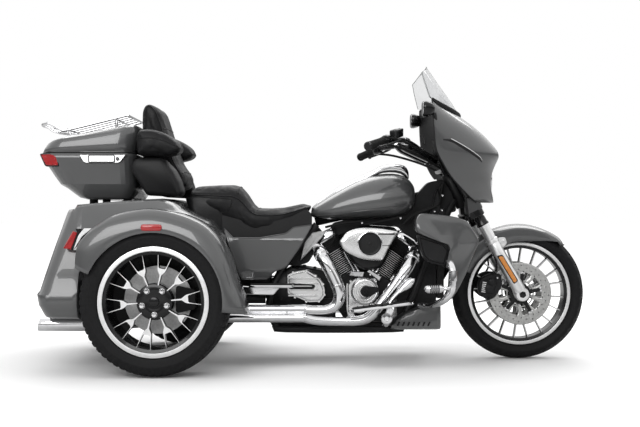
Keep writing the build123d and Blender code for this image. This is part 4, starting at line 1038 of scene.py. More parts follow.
# ---------------------------------------------------------------- front fender
skirt = [  # angle from the ground line ahead, lowest radius of the side
    (47, 322), (52, 312), (60, 292), (70, 270), (80, 256), (90, 251), (97, 252), (103, 247), (109, 238),
    (118, 246), (130, 254), (145, 258), (158, 258)]
form = Form()
rows = []
for k in range(46):
    angle = 48 + 110 * k / 45
    low = mixed(skirt, angle)[1]
    tip = max(0.0, (54 - angle) / 6)
    half = 84 - 16 * tip ** 2
    crown = 336 - 6 * tip
    cut = [(low, half), (low + (crown - 26 - low) * 0.5, half + 1), (crown - 26, half - 1),
           (crown - 19, half - 5), (crown - 15, half - 12), (crown - 8, half - 30), (crown - 2, half - 55),
           (crown, 0)]
    ring = []
    for r, y in cut + [(r, -y) for r, y in reversed(cut[:-1])]:
        ring.append((FRONT[0] + r * cos(radians(angle)), y, FRONT[1] + r * sin(radians(angle))))
    rows.append(ring)
form.skin(rows, loop=False, caps=(False, False))
form.made("front_fender_shell", "paint", "front_fender", "steering", solid=3.5, smooth=16)

# ---------------------------------------------------------------- engine
CRANK = (245.0, 280.0)


def lean_point(lean, along, across=0.0, y=0.0):
    """Point in a cylinder's plane: along its axis from the crankshaft, and across it forward."""
    a = radians(lean)
    return Vector((CRANK[0] + along * sin(a) + across * cos(a), y,
                   CRANK[1] + along * cos(a) - across * sin(a)))


def barrel_ring(lean, along, half, y_half, power=3.4):
    """Ring across a leaning cylinder, more or less square by its power."""
    return [lean_point(lean, along, half * signed(cos(a), 2 / power), y_half * signed(sin(a), 2 / power))
            for a in around(32)]


for lean, word in ((-31.5, "rear"), (35.0, "front")):
    form = Form()
    form.skin([barrel_ring(lean, along, 50, 50) for along in (150, 288)])
    along = 157.0
    while along < 282:
        low, near, far, high = (barrel_ring(lean, along + up, half, half + 2) for up, half in
                                ((0, 64), (0.8, 65.6), (2.6, 65.6), (3.4, 64)))
        form.skin([low, near], 0, (True, False))
        form.skin([near, far], 1, (False, False))
        form.skin([far, high], 0, (False, True))
        along += 9.3
    form.made(f"barrel_{word}", ["engine_black", "machined_rear"], "cylinders" if lean < 0 else (), smooth=30)
    head = Form()
    for k in range(6):
        low = 288 + k * 9.2
        head.skin([barrel_ring(lean, low + up, half + k, half + 16, 5) for up, half in
                   ((0, 66), (1, 68), (4, 68), (5, 66))])
        head.skin([barrel_ring(lean, low + up, 60, 76, 5) for up in (4.5, 9.4)])
    head.bolts([lean_point(lean, 300, a, -84) for a in (-50, 50)], (0, -1, 0), 7, 7)
    head.made(f"head_{word}", "engine_black", "cylinder_heads" if lean < 0 else (), smooth=30)
    rocker = Form()
    rocker.skin([barrel_ring(lean, *row) for row in ((343, 62, 90, 6), (345, 65, 93, 6), (350, 65, 93, 6),
                                                     (352, 63, 91, 6))])
    rocker.skin([barrel_ring(lean, *row) for row in ((352.5, 61, 90, 6), (354, 64, 93, 6), (374, 62, 92, 6),
                                                     (384, 52, 86, 6), (388, 40, 76, 5), (390, 24, 60, 5))])
    for a in (-48, 48):
        for y in (-78, 78):
            rocker.bolts([lean_point(lean, 376, a, y)], lean_point(lean, 1) - lean_point(lean, 0), 6, 10)
    rocker.made(f"rocker_{word}", "chrome", "rocker_covers" if lean < 0 else (), smooth=34)
plugs = Form()
for lean, sign in ((-31.5, 1), (35.0, -1)):
    base = lean_point(lean, 318, 20 * sign, -80)
    plugs.rod(base, base + Vector((0, -20, 2)), 9, 8)
    plugs.pipe([base + Vector((0, -18, 2)), base + Vector((4 * sign, -34, 12)),
                base + Vector((10 * sign, -30, 44)), base + Vector((10 * sign, 10, 76))], 4.2, 10)
plugs.made("spark_leads", "rubber", smooth=60)

case = Form()
case_side = rounded([(105, 388), (150, 412), (205, 432), (292, 432), (345, 404), (392, 370), (380, 250),
                     (335, 186), (160, 186), (112, 260)], 18)
case.plate(case_side, 0, -116, edge=5, deep=8)
case.plate(case_side, 0, 116, edge=5, deep=8)
for z in (214, 232):
    case.cut(oblong(150, 350, z, z + 6), 2, -110, -126, 1)
case.studs(-116, ((130, 372), (182, 410), (322, 396), (370, 350), (366, 262), (330, 204), (170, 204),
                  (126, 270)), 7, 7)
case.made("crankcase", "engine_black", "engine_case", smooth=34)

cam = Form()
cam_side = rounded([(166, 372), (196, 396), (240, 402), (300, 396), (318, 352), (300, 300), (272, 262),
                    (236, 232), (168, 232)], 10)
cam.plate(cam_side, -118, -168, edge=5, deep=8)
cam.turn([(66, 0), (66, 8), (63, 12), (60, 14), (60, 26), (57, 30), (52, 31), (50, 28), (41, 28), (39, 30),
          (30, 31), (28, 28), (0.5, 28)], (247, -166, 338), (0, -1, 0), 72)
cam.cut([(158, 372), (188, 376), (184, 250), (206, 214), (166, 214), (160, 260)], 7, -118, -160, 3)
cam.studs(-168, ((180, 384), (298, 384), (306, 318), (286, 276), (240, 244), (180, 244), (178, 318)), 6, 6)
cam.made("cam_case", "satin", "cam_cover", smooth=34)
badge = Form().cut([(240, 366), (312, 358), (316, 342), (268, 312), (240, 312), (222, 338)], 11, -194, -200,
                   2)
badge.turn([(21, 0), (21, 4), (18, 5), (8, 5), (7, 3), (0.5, 3)], (246, -199, 338), (0, -1, 0), 40)
badge.studs(-203, [(246 + 15 * cos(a), 338 + 15 * sin(a)) for a in map(radians, (45, 135, 225, 315))], 2.4, 2)
badge.made("cam_insert", "engine_black", smooth=30)

tappets = Form()
for points in ([(172, 410), (182, 432), (246, 430), (240, 405)],
               [(258, 430), (268, 442), (328, 405), (318, 384)]):
    tappets.cut(points, 5, -118, -152, 3)
    middle = sum((Vector(p) for p in points), Vector((0, 0))) / 4
    tappets.studs(-152, ((middle.x - 20, middle.y), (middle.x + 20, middle.y)), 5, 4)
for (xa, za), (xb, zb) in (((150, 524), (200, 428)), ((174, 512), (222, 426)), ((352, 514), (300, 424)),
                           ((330, 500), (280, 428))):
    a, b = Vector((xa, -126, za)), Vector((xb, -132, zb))
    tappets.rod(a, b, 5.5, 5.5, 18)
    tappets.rod(b + (a - b) * 0.02, b + (a - b) * 0.16, 8, 8, 18)
    tappets.rod(b + (a - b) * 0.55, b + (a - b) * 0.6, 7, 7, 18)
tappets.made("tappets", "chrome", "pushrod_tubes", smooth=40)

gear = Form()
gear_side = rounded([(-125, 419), (-82, 436), (-30, 444), (3, 425), (43, 395), (63, 349), (60, 310),
                     (37, 284), (-23, 282), (-69, 303), (-122, 322)], 14)
gear.plate(gear_side, -112, -176, edge=5, deep=10)
gear.plate(inset(gear_side, 12), -174, -190, edge=4)
for k in range(4):
    gear.cut([(-116, 404 - k * 27), (30 - k * 3, 404 - k * 27), (30 - k * 3, 396 - k * 27),
              (-116, 396 - k * 27)], 3, -186, -197, 2)
gear.studs(-176, ((-92, 428), (-30, 436), (14, 412), (50, 372), (56, 322), (30, 291), (-30, 290),
                  (-84, 310)), 6.5, 10)
gear.made("gear_cover", "satin", "transmission_cover", smooth=34)
slot = Form().cut([(-112, 378), (4, 374), (14, 362), (4, 350), (-112, 350)], 9, -180, -197.6, 1.5)
slot.made("gear_slot", "engine_black", smooth=34)
slot_rib = Form().cut([(-108, 367), (-2, 366), (-2, 361), (-108, 361)], 2, -190, -198, 1)
slot_rib.made("gear_slot_rib", "satin", smooth=34)

gearbox = Form()
side = rounded([(-128, 300), (-128, 430), (-60, 452), (60, 430), (100, 380), (100, 240), (-60, 240)], 16)
gearbox.plate(side, 0, -110, edge=6).plate(side, 0, 110, edge=6)
for x in (-100, -60, -20, 20):
    gearbox.cut(oblong(x, x + 8, 262, 290), 2, -108, -118, 1)
gearbox.bolts([(x, -60, z) for x, z in ((-40, 450), (10, 441))], (0.1, 0, 1), 8, 9)
gearbox.turn([(17, 0), (17, 10), (14, 14), (14, 20), (0.5, 20)], (-84, -70, 440), (0, 0, 1), 24)
gearbox.made("gearbox", "engine_black", "transmission_case", smooth=34)

eye = Form()
eye_side = curve([(127, 569), (142, 596), (168, 622), (224, 639), (301, 638), (352, 631), (402, 620),
                  (385, 590), (358, 545), (326, 489), (295, 486), (263, 488), (205, 502), (150, 532)], 3)
eye.plate(eye_side, -190, -240, edge=3, deep=4)
eye.layers(eye_side, ((-239.5, 2), (-243, 7), (-245.5, 14), (-246.5, 20)))
eye.made("air_cover", "satin", "air_cleaner", smooth=50)
air_at = (268, -242, 565)
ring = Form().turn([(50, 0), (58, 0), (59, 10), (57, 14), (54, 15), (52, 12), (50, 6)], air_at, (0, -1, 0),
                   72, closed=True)
ring.made("air_ring", "chrome", smooth=40)
disc = Form().turn([(51, 0), (51, 8), (48, 10), (44, 9), (42, 10.5), (8, 11), (7, 13), (4, 14), (0.5, 14)],
                   air_at, (0, -1, 0), 64)
disc.made("air_disc", "black_satin", "air_filter", smooth=30)
# A thin dark rod along the air cleaner cover's crease: painted shade for the crease.
Form().rod((324, -247.2, 556), (372, -246.2, 556), 1.3).made("air_crease_shade", "engine_black")
housing = Form()
housing_side = rounded([(146, 560), (170, 608), (230, 628), (384, 608), (340, 470), (318, 447), (280, 438),
                        (232, 442), (186, 474)], 22)
housing.plate(housing_side, -118, -192, edge=14, deep=20)
housing.made("air_housing", "plastic", smooth=40)

primary = Form()
side = rounded([(330, 370), (330, 200), (-120, 215), (-150, 400), (-40, 440)], 62, 8)
primary.plate(side, 112, 168, edge=12, deep=14)
primary.plate(inset(side, 16), 160, 178, edge=8, deep=9)
primary.turn([(86, 0), (86, 10), (80, 16), (70, 18), (66, 14), (30, 14), (26, 18), (0.5, 19)],
             (-30, 172, 326), (0, 1, 0), 72)
primary.turn([(60, 0), (60, 8), (54, 13), (0.5, 15)], (250, 172, 292), (0, 1, 0), 60)
primary.studs(168, ((300, 358), (318, 290), (314, 222), (230, 206), (120, 208), (10, 212), (-100, 222),
                    (-130, 300), (-138, 390), (-48, 428), (80, 410), (200, 388)), 6.5, 12)
primary.made("primary", "chrome", "primary_cover", smooth=40)

# ---------------------------------------------------------------- exhaust
pipes = Form()
# x, y, z, radius along each header
rear_pipe = [(20, -86, 538, 27), (30, -150, 534, 29), (42, -208, 514, 31), (62, -236, 478, 31),
             (98, -236, 412, 31), (122, -236, 352, 30), (124, -236, 310, 28), (104, -236, 272, 25),
             (62, -236, 256, 22), (10, -236, 254, 21), (-30, -236, 257, 21)]
front_pipe = [(470, -86, 528, 26), (477, -160, 522, 28), (468, -214, 492, 30), (436, -236, 440, 30),
              (384, -236, 366, 28), (322, -236, 284, 26), (272, -236, 228, 24), (220, -236, 205, 22),
              (120, -236, 202, 21), (20, -236, 206, 22), (-30, -236, 216, 22)]
for path in (rear_pipe, front_pipe):
    pipes.pipe([p[:3] for p in path], [p[3] for p in path], 28, smooth=3)
for (xa, ya, za), (xb, yb, zb) in (((38, -204, 522), (46, -222, 504)), ((472, -200, 508), (464, -220, 486))):
    pipes.rod((xa, ya, za), (xb, yb, zb), 36, 36, 32)
for x, z, turn in ((84, 440, -0.46), (116, 372, -0.3), (410, 402, 0.95), (350, 318, 0.95)):
    along = Vector((sin(turn), 0, cos(turn)))
    here = Vector((x, -236, z))
    pipes.rod(here - along * 4, here + along * 4, 32, 32, 32)
    pipes.turn([(6, 0), (6, 8), (4, 10), (0.5, 10)], here + Vector((0, -30, 0)), (0, -1, 0), 12)
pipes.made("headers", "chrome", "exhaust", smooth=50)

box = Form()
for low, high, bulge in ((241, 281, 0), (197, 243, 3)):
    z, r = (low + high) / 2, (high - low) / 2
    run = [(-29, -236, 0.97), (-34, -236, 1.06), (-40, -237, 1.06), (-45, -237, 1.0), (-240, -238, 1.0),
           (-395, -241, 1.0), (-480, -246, 1.0), (-620, -300, 1.0), (-780, -362, 1.1), (-900, -402, 1.25)]
    box.pipe([(x, y - bulge, z + (209 - z) * max(0.0, min(1.0, (-x - 480) / 400))) for x, y, share in run],
             [r * share for x, y, share in run], 32, smooth=3)
box.cut(oblong(-392, -46, 212, 266), 4, -206, -246, 3)
box.bolts([(x, -252, 242) for x in (-120, -300)], (0, -1, -0.2), 5, 5)
box.pipe([(-300, -206, 248), (-430, -196, 248), (-505, -120, 245), (-524, 0, 243), (-524, 140, 240),
          (-560, 232, 228), (-700, 330, 215), (-900, 402, 209)], [22, 24, 24, 24, 24, 24, 26, 28], 24)
for sign in (-1, 1):
    path = [((-880, sign * 398, 209), 30), ((-960, sign * 414, 209), 30), ((-966, sign * 415, 209), 32),
            ((-1090, sign * 428, 209), 32), ((-1218, sign * 430, 209), 31), ((-1224, sign * 430, 209), 29.5),
            ((-1222, sign * 430, 209), 27), ((-1130, sign * 428, 209), 26)]
    box.skin([[(x + (0 if x > -1200 else 6 * sin(a)), y + r * cos(a), z + r * sin(a)) for a in around(32)]
              for (x, y, z), r in path])
box.made("mufflers", "chrome", smooth=44)

# ---------------------------------------------------------------- footboards, levers, guard


def board_levels(low, high, shrink):
    """(height, inset) levels of a footboard's plate or pad with softened edges."""
    return [(low, 3 + shrink), (low + 3, shrink), (high - 2, shrink), (high, 2 + shrink)]


boards = Form()
slope = atan2(38, 287)
for sign in (-1, 1):
    lean = Matrix.Rotation(-slope, 3, "Y")
    outline = rounded([(-146, 52), (146, 44), (146, -52), (-146, -52)], 34, 6)
    middle = Vector((322, sign * 317, 272))
    for low, high, shrink, kind in ((0, 13, 0, 0), (12.5, 17, 8, 1)):
        boards.layers(outline, board_levels(low, high, shrink),
                      lambda p, z: middle + lean @ Vector((p.x, -sign * p.y, z)), kind)
    for k in range(9):
        a, b = (middle + lean @ Vector((-112 + k * 28, y, 18)) for y in (-32, 32))
        boards.rod(a, b, 2.6, kind=1, steps=8)
    boards.pipe([(346, sign * 158, 182), (345, sign * 214, 186), (346, sign * 262, 200),
                 (352, sign * 300, 236), (354, sign * 306, 270)], [16, 15, 14, 13, 13], 16)
    boards.turn([(24, -10), (26, -6), (26, 8), (22, 12), (12, 13), (10, 9), (0.5, 9)], (341, sign * 318, 222),
                (0, sign, 0), 32)
    boards.cut([(322, 214), (346, 206), (378, 262), (360, 276), (344, 268)], 10, sign * 296, sign * 318, 3)
    outline = rounded(oblong(-103, 103, -46, 46), 28, 6)
    for low, high, shrink, kind in ((0, 12, 0, 0), (11.5, 16, 6, 1)):
        boards.layers(outline, board_levels(low, high, shrink),
                      lambda p, z: Vector((-190 + p.x, sign * (311 - p.y), 366 + z)), kind)
    boards.cut([(-322, 332), (-326, 372), (-243, 366), (-150, 365), (-180, 330)], 8, sign * 160, sign * 300,
               3)
boards.made("boards", ["chrome", "rubber"], "footboards", smooth=36)

levers = Form()
levers.pipe([(350, -300, 242), (352, -306, 276), (366, -304, 306), (392, -304, 336), (420, -304, 364)],
            [11, 10, 9, 9, 9], 14, smooth=3)
blade = [((398, 344), 9), ((418, 362), 17), ((444, 384), 22), ((462, 400), 15), ((468, 405), 5)]
levers.skin([[(x + signed(cos(t), 0.7) * 0.62 * half, -306 + signed(sin(t), 0.7) * 30,
               z - signed(cos(t), 0.7) * 0.78 * half) for t in around(20)] for (x, z), half in blade])
levers.pipe([(210, 300, 315), (280, 314, 322), (340, 318, 334), (410, 318, 352), (470, 318, 372)], 8, 14)
levers.turn([(9, 0), (13, 3), (13, 44), (9, 47)], (470, 296, 372), (0, 1, 0), 24, kind=1)
levers.turn([(9, 0), (13, 3), (13, 40), (9, 43)], (216, 296, 318), (0, 1, 0), 24, kind=1)
levers.made("levers", ["chrome", "rubber"], "foot_levers", smooth=36)

guard = Form()
guard.pipe([(585, 132, 506), (598, 210, 503), (612, 300, 497), (628, 362, 480), (637, 388, 440),
            (636, 392, 390), (630, 390, 352), (604, 378, 316), (570, 320, 290), (540, 250, 276),
            (505, 205, 276)], 16, 20)
guard.pipe([(638, 388, 446), (638, 391, 420), (637, 392, 400)], [18.5, 18.5, 18.5], 20)
guard.turn([(4, -4), (13, 0), (19, 12), (20, 26), (20, 60), (18, 74), (12, 84), (4, 90)], (510, 398, 364),
           (1, 0, 0.02), 28)
guard.rod((596, 398, 366), (634, 392, 368), 9, 9, 18)
guard.mirror()
guard.made("guards", "chrome", "engine_guard", smooth=50)
grip = Form()
for k in range(5):
    grip.turn([(20.4, 0), (21.4, 1), (21.4, 5), (20.4, 6)], (532 + k * 9, 398, 364.4), (1, 0, 0.02), 28)
grip.mirror().made("peg_rubber", "rubber", smooth=40)

# Dark ribbed discs inside the rear wheels, behind the spokes: painted shade, a dark sheet that stands in for
# the shade in the wheels' inner gaps.
shade_discs = Form()
arc = [radians(a) for a in range(-45, 226, 5)]
shade_discs.skin([[(REAR[0] + r * cos(a), -456 - out, REAR[1] + r * sin(a)) for r, out in
               ((215, 0), (216, 3), (213, 5), (206, 3), (70, 2), (66, -6), (60, -6), (60, 0))] for a in arc])
for k in range(19):
    a = arc[3 * k]
    spot = Vector((REAR[0], -458, REAR[1]))
    shade_discs.rod(spot + Vector((90 * cos(a), 0, 90 * sin(a))),
                spot + Vector((196 * cos(a), 0, 196 * sin(a))), 2.5, 2.5, 8)
shade_discs.mirror().made("painted_shade_discs", "engine_black", smooth=34)

# ---------------------------------------------------------------- frame and engine bay
tubes = Form()
for sign in (-1, 1):
    tubes.pipe([(688, sign * 30, 770), (575, sign * 95, 560), (452, sign * 138, 246),
                (424, sign * 140, 176), (380, sign * 140, 156), (-130, sign * 140, 156),
                (-176, sign * 140, 176), (-202, sign * 140, 240), (-203, sign * 139, 300),
                (-150, sign * 128, 436), (18, sign * 118, 652)], 17, 20, smooth=3)
    tubes.pipe([(18, sign * 118, 640), (-150, sign * 118, 582), (-384, sign * 118, 576)], 12, 16)
    tubes.cut([(-212, 240), (-150, 420), (-96, 452), (-60, 430), (-110, 250)], 20, sign * 128, sign * 146, 3)
tubes.rod((689, 0, 822), (10, 0, 672), 28, 28, 28)
tubes.rod((738, 0, 742), (661, 0, 900), 36, 36, 32)
tubes.rod((-190, -140, 300), (-190, 140, 300), 18, 18, 20)
tubes.rod((438, -140, 215), (438, 140, 215), 14, 14, 20)
tubes.studs(-146, ((-150, 300), (-120, 410)), 9, 6)
tubes.made("tubes", "black_satin", "frame", smooth=50)

bay = Form()
fills = [  # corners, radius, y from, y to, edge
    ([(-196, 470), (-150, 556), (30, 640), (58, 600), (-20, 470), (-80, 452)], 14, -96, 96, 5),
    ([(60, 560), (96, 660), (440, 742), (500, 742), (566, 590), (480, 560), (420, 640), (250, 652),
      (120, 600)], 16, -60, 70, 6),
    ([(486, 716), (500, 790), (560, 858), (632, 872), (676, 800), (700, 716), (560, 690)], 18, -46, 46, 8),
    ([(140, 420), (100, 600), (250, 650), (400, 640), (440, 560), (330, 420)], 16, -30, 96, 6),
    ([(404, 200), (404, 420), (470, 540), (560, 560), (590, 520), (592, 280), (560, 200)], 18, -112, 112, 6),
    ([(-200, 170), (-190, 300), (110, 300), (110, 190), (60, 166)], 14, -128, 128, 6),
    ([(-372, 300), (-390, 560), (-160, 566), (-204, 440), (-206, 300)], 14, -112, 112, 6)]
for fill_in in fills:
    bay.cut(*fill_in)
for k in range(6):
    bay.cut([(-186 + k * 14, 492 + k * 22), (-120 + k * 14, 486 + k * 22), (-120 + k * 14, 494 + k * 22),
             (-186 + k * 14, 500 + k * 22)], 2, -96, -104, 1)
bay.made("engine_bay", "engine_black", smooth=34)
side_plate = Form().cut([(-34, 588), (-20, 612), (40, 622), (62, 617), (44, 590), (-60, 478)], 8, -124,
                        -134, 2.5)
side_plate.studs(-134, ((-10, 596), (34, 606), (-34, 534)), 5, 5)
side_plate.made("bay_plate", "cast", smooth=34)

wires = Form()
for k, (dy, dz) in enumerate(((0, 0), (-9, 8), (7, 10), (-5, 19))):
    wires.pipe([(626 + 3 * k, -62 + dy, 846 + dz / 2), (622 - 4 * k, -76 + dy, 796 + dz),
                (600, -92 + dy, 742 + dz / 2), (540, -96 + dy, 716 + dz / 2), (480, -98 + dy, 690 + dz / 2),
                (430, -98, 650)], 5, 10, smooth=4)
    wires.pipe([(632, -26 + dy, 862), (610, -40 + dy * 2, 830), (592, -60, 770 + dz), (560, -70, 700)], 4.5,
               10, smooth=4)
wires.pipe([(240, -100, 650), (330, -112, 668), (430, -108, 690)], 7, 12)
wires.pipe([(60, -100, 640), (150, -112, 660), (240, -112, 668)], 6, 12)
wires.made("looms", "rubber", smooth=60)
clips = Form()
clips.bolts([(612, -106, 700), (618, -116, 722), (622, -106, 792), (584, -106, 716), (610, -116, 672),
             (575, -106, 694), (236, -116, 661), (420, -116, 684)], (0, -1, 0), 6, 6)
clips.made("neck_bolts", "chrome", smooth=30)
neck_side = Form()
neck_side.cut([(556, 690), (578, 744), (588, 800), (598, 832), (610, 790), (616, 730), (612, 668),
               (588, 640)], 10, -80, -100, 4)
neck_side.cut([(588, 666), (602, 700), (622, 738), (636, 720), (630, 668), (612, 640)], 8, -100, -116, 3)
neck_side.mirror().made("neck_covers", "engine_black", smooth=34)

core = Form()
core.plate(oblong(596, 628, 300, 520), -118, 118, edge=2)
core.made("radiator_core", "fins", "radiator")

# ---------------------------------------------------------------- lower fairings and chin
lower_side = curve([(490, 702), (520, 706), (560, 703), (610, 698), (655, 690), (690, 680), (712, 668),
                    (732, 640), (752, 608), (766, 582), (764, 566), (750, 538), (730, 494), (712, 450),
                    (696, 413), (680, 384), (660, 350), (638, 318), (622, 312), (612, 322), (622, 344),
                    (634, 366), (641, 410), (643, 452), (630, 456), (608, 460), (620, 500), (629, 536),
                    (620, 556), (606, 573), (560, 590), (518, 602), (494, 612), (476, 624), (470, 646),
                    (474, 676)], 2)


def lower_face(x, z):
    """How far the shell's outer face is set in at a place: it curls inward to the front."""
    return 372 - 46 * max(0.0, (x - 560) / 206) ** 2.0 - 26 * max(0.0, (z - 640) / 66) ** 2


middle = Vector((628, 560))
rings = []
for share, into in ((1, 120), (1, 30), (1, 12), (0.985, 4), (0.96, 0), (0.88, -3), (0.72, -5), (0.35, -6)):
    rings.append([(middle.x + (x - middle.x) * share, into - lower_face(x, z),
                   middle.y + (z - middle.y) * share) for x, z in lower_side])
form = Form().skin(rings, caps=(False, True))
form.mirror().made("lower_shells", "paint", "lower_fairings", smooth=40)
pocket = Form()
pocket_side = rounded([(478, 612), (518, 598), (600, 572), (628, 536), (606, 462), (530, 482), (505, 505),
                       (488, 560)], 16)
pocket.layers(pocket_side, ((-300, 0), (-352, 0), (-358, 3), (-359, 8), (-352, 11), (-318, 18), (-312, 30)))
pocket.layers(pocket_side, ((-352, 12), (-350, 16), (-340, 30)))
pocket.rod((532, -350, 500), (606, -350, 478), 3, 3, 10)
pocket.mirror().made("pockets", "black_satin", smooth=44)

chin = Form()
chin_rows = [(362, 158, 166, 130), (372, 158, 182, 185), (395, 157, 206, 196), (440, 157, 240, 200),
             (504, 157, 262, 200), (560, 157, 274, 200), (586, 157, 278, 196), (604, 158, 272, 180),
             (612, 162, 262, 150)]
rings = []
for x, low, high, half in chin_rows:
    flank = [(1.0, low + 9), (1.0, low + (high - low) * 0.7), (0.97, high - 6), (0.9, high)]
    flank = [(x, share * half, z) for share, z in [(0.9, low)] + flank]
    rings.append(flank + [(x, -y, z) for x, y, z in reversed(flank)])
chin.skin(rings)
chin.made("chin_shell", "paint", "chin_panel", smooth=30, bevel=3)
slats = Form()
for k in range(7):
    slats.cut([(396 + k * 24, 176), (404 + k * 24, 176), (412 + k * 24, 196), (404 + k * 24, 196)], 2, -199,
              -204, 1)
slats.made("chin_slats", "plastic", smooth=34)

# ---------------------------------------------------------------- fork, brakes and front axle


def on_leg(z, y=0.0, across=0.0):
    """Point on a fork leg's axis at height z, moved across it to the front."""
    return Vector((FRONT[0] - tan(RAKE) * (z - FRONT[1]) + across * cos(RAKE), y, z + across * sin(RAKE)))


legs = Form()
up = (on_leg(900) - on_leg(320)).normalized()
for sign in (-1, 1):
    y = sign * LEG_Y
    legs.turn([(22, -2), (29, 4), (30, 12), (30, 200), (30.5, 214), (30, 220), (30, 262), (28.5, 266),
               (28.5, 270), (31.5, 272), (32, 280), (31, 288), (26, 292), (26, 360), (26, 372)],
              on_leg(330, y), up, 40)
    legs.turn([(26, 0), (31, 3), (33, 10), (33, 26), (30, 30), (14, 31), (12, 27), (0.5, 27)],
              (FRONT[0], sign * 112, FRONT[1]), (0, sign, 0), 40)
    legs.cut([(968, 306), (985, 285), (1020, 292), (1037, 306), (1034, 330), (1010, 356), (975, 372),
              (950, 360)], 12, sign * 98, sign * 138, 6, 8)
    legs.cut([(872, 560), (890, 590), (926, 592), (936, 562), (915, 540)], 10, sign * 88, sign * 94, 2)
    legs.studs(sign * 94, ((920, 576), (896, 566)), 7, 8)
legs.made("fork_legs", "bright", "fork", "steering", smooth=44)
uppers = Form()
for sign in (-1, 1):
    y = sign * LEG_Y
    uppers.turn([(24.4, 0), (24.4, 330), (22, 332)], on_leg(640, y), up, 36)
    uppers.turn([(30, 0), (30, 8), (27, 12), (27, 40), (25, 42)], on_leg(650, y), up, 36)
    uppers.turn([(17, 0), (17, 4), (8, 5), (0.5, 5)], (FRONT[0], sign * 140, FRONT[1]), (0, sign, 0), 6)
for z, thick in ((702, 34), (930, 22)):
    neck = radians(26)
    place = Vector(((1100.6 - tan(neck) * z + on_leg(z).x) / 2, 0, z))
    turn = Matrix.Rotation(-neck, 3, "Y")
    outline = rounded([(-44, 153), (44, 153), (52, 60), (52, -60), (44, -153), (-44, -153), (-52, -60),
                       (-52, 60)], 26)
    uppers.layers(outline, ((-thick / 2, 4), (-thick / 2 + 4, 0), (thick / 2 - 4, 0), (thick / 2, 4)),
                  lambda p, h: place + turn @ Vector((p.x, p.y, h)))
uppers.turn([(15, 0), (15, 130), (13, 134)], (FRONT[0], -67, FRONT[1]), (0, 1, 0), 30)
uppers.made("fork_uppers", "black_gloss", body="steering", smooth=44)

shroud = Form()
cover_side = rounded([(724, 790), (760, 778), (800, 760), (812, 731), (790, 712), (764, 694), (738, 677)], 12)
shroud.plate(cover_side, -84, -152, edge=7, deep=12)
shroud.mirror().made("fork_shrouds", "paint_shade", "fork_covers", "steering", smooth=40)

amber = Form().cut([(882, 500), (903, 504), (972, 388), (958, 376)], 7, -150, -157, 2)
amber.mirror().made("ambers", "lens_amber", "reflectors", "steering", smooth=34)
frame_strip = Form().cut([(876, 504), (903, 511), (979, 386), (958, 369)], 8, -140, -151.5, 2)
frame_strip.mirror().made("amber_frames", "black_gloss", body="steering", smooth=34)

calipers = Form()
side = rounded([(793, 363), (803, 394), (834, 410), (861, 420), (904, 416), (912, 363), (894, 330),
                (871, 298), (837, 289), (798, 322)], 14)
calipers.plate(side, -80.5, -109, edge=5, deep=8)
calipers.cut([(812, 330), (818, 380), (862, 398), (884, 372), (862, 320)], 10, -107, -120, 4)
calipers.studs(-108, ((884, 398), (846, 304)), 7.5, 9)
calipers.turn([(17, 0), (18, 3), (18, 10), (14, 12), (0.5, 12)], (842, -118, 346), (0, -1, 0), 28)
calipers.turn([(14, 0), (15, 3), (15, 9), (11, 11), (0.5, 11)], (858, -118, 378), (0, -1, 0), 28)
calipers.plate(side, -69.5, -62, edge=3)
calipers.mirror().made("caliper_blocks", "black_satin", "front_calipers", "steering", smooth=34)
pads = Form()
for k in range(6):
    pads.cut([(806 + k * 1.2, 330 + k * 9), (826 + k * 1.2, 327 + k * 9), (827 + k * 1.2, 332 + k * 9),
              (807 + k * 1.2, 335 + k * 9)], 1.5, -116, -122, 1)
pads.studs(-115, ((884, 398),), 5, 6)
pads.mirror().made("caliper_ribs", "satin", body="steering", smooth=30)

hoses = Form()
for sign in (-1, 1):
    hoses.pipe([(864, sign * 112, 412), (880, sign * 124, 450), (862, sign * 128, 520),
                (818, sign * 122, 620), (780, sign * 70, 690), (752, sign * 40, 730)], 5, 10)
    hoses.pipe([(330, sign * 385, 1020), (420, sign * 300, 1004), (540, sign * 180, 960),
                (618, sign * 100, 918), (642, sign * 84, 896)], 6, 10, smooth=4)
hoses.pipe([(330, -392, 1052), (410, -330, 1040), (520, -200, 1000), (610, -96, 962), (644, -60, 912)],
           5, 10, smooth=4)
hoses.made("hoses", "rubber", body="steering", smooth=60)

# ---------------------------------------------------------------- handlebar, controls, mirrors
bars = Form()
half_bar = [(580, 60, 965), (560, 84, 978), (500, 120, 1020), (470, 142, 1037), (446, 178, 1046),
            (425, 215, 1050), (380, 272, 1046), (335, 330, 1040), (292, 391, 1023), (252, 450, 1007)]
bars.pipe([(x, -y, z) for x, y, z in reversed(half_bar)] + [(586, 0, 962)] + half_bar, 12.8, 18, smooth=3)
for sign in (-1, 1):
    bars.rod((656, sign * 40, 938), (586, sign * 40, 965), 17, 15, 24)
    bars.cut([(566, 940), (562, 984), (604, 990), (612, 950)], 12, sign * 26, sign * 56, 4)
bars.cut([(430, 1010), (400, 1044), (470, 1056), (566, 984), (560, 950)], 14, -60, -132, 8)
bars.mirror()
bars.made("bar", "black_gloss", "handlebar", "steering", smooth=50)

grips = Form()
out = (Vector((252, -450, 1007)) - Vector((335, -330, 1040))).normalized()
start = Vector((335, -330, 1040))
profile = [(17, 20), (21, 22), (21, 30)]
for k in range(9):
    low = 32 + k * 12
    profile += [(18.6, low), (20.2, low + 1.5), (20.2, low + 8.5), (18.6, low + 10)]
profile += [(20.5, 142), (21.5, 146), (19, 152), (6, 154), (0.5, 154)]
grips.turn(profile, start, out, 32)
grips.mirror().made("grip_sleeves", "rubber", "grips", "steering", smooth=34)
caps = Form().turn([(20, 0), (21, 2), (21, 6), (17, 9), (0.5, 9)], start + out * 150, out, 32)
caps.mirror().made("grip_caps", "black_gloss", body="steering", smooth=34)

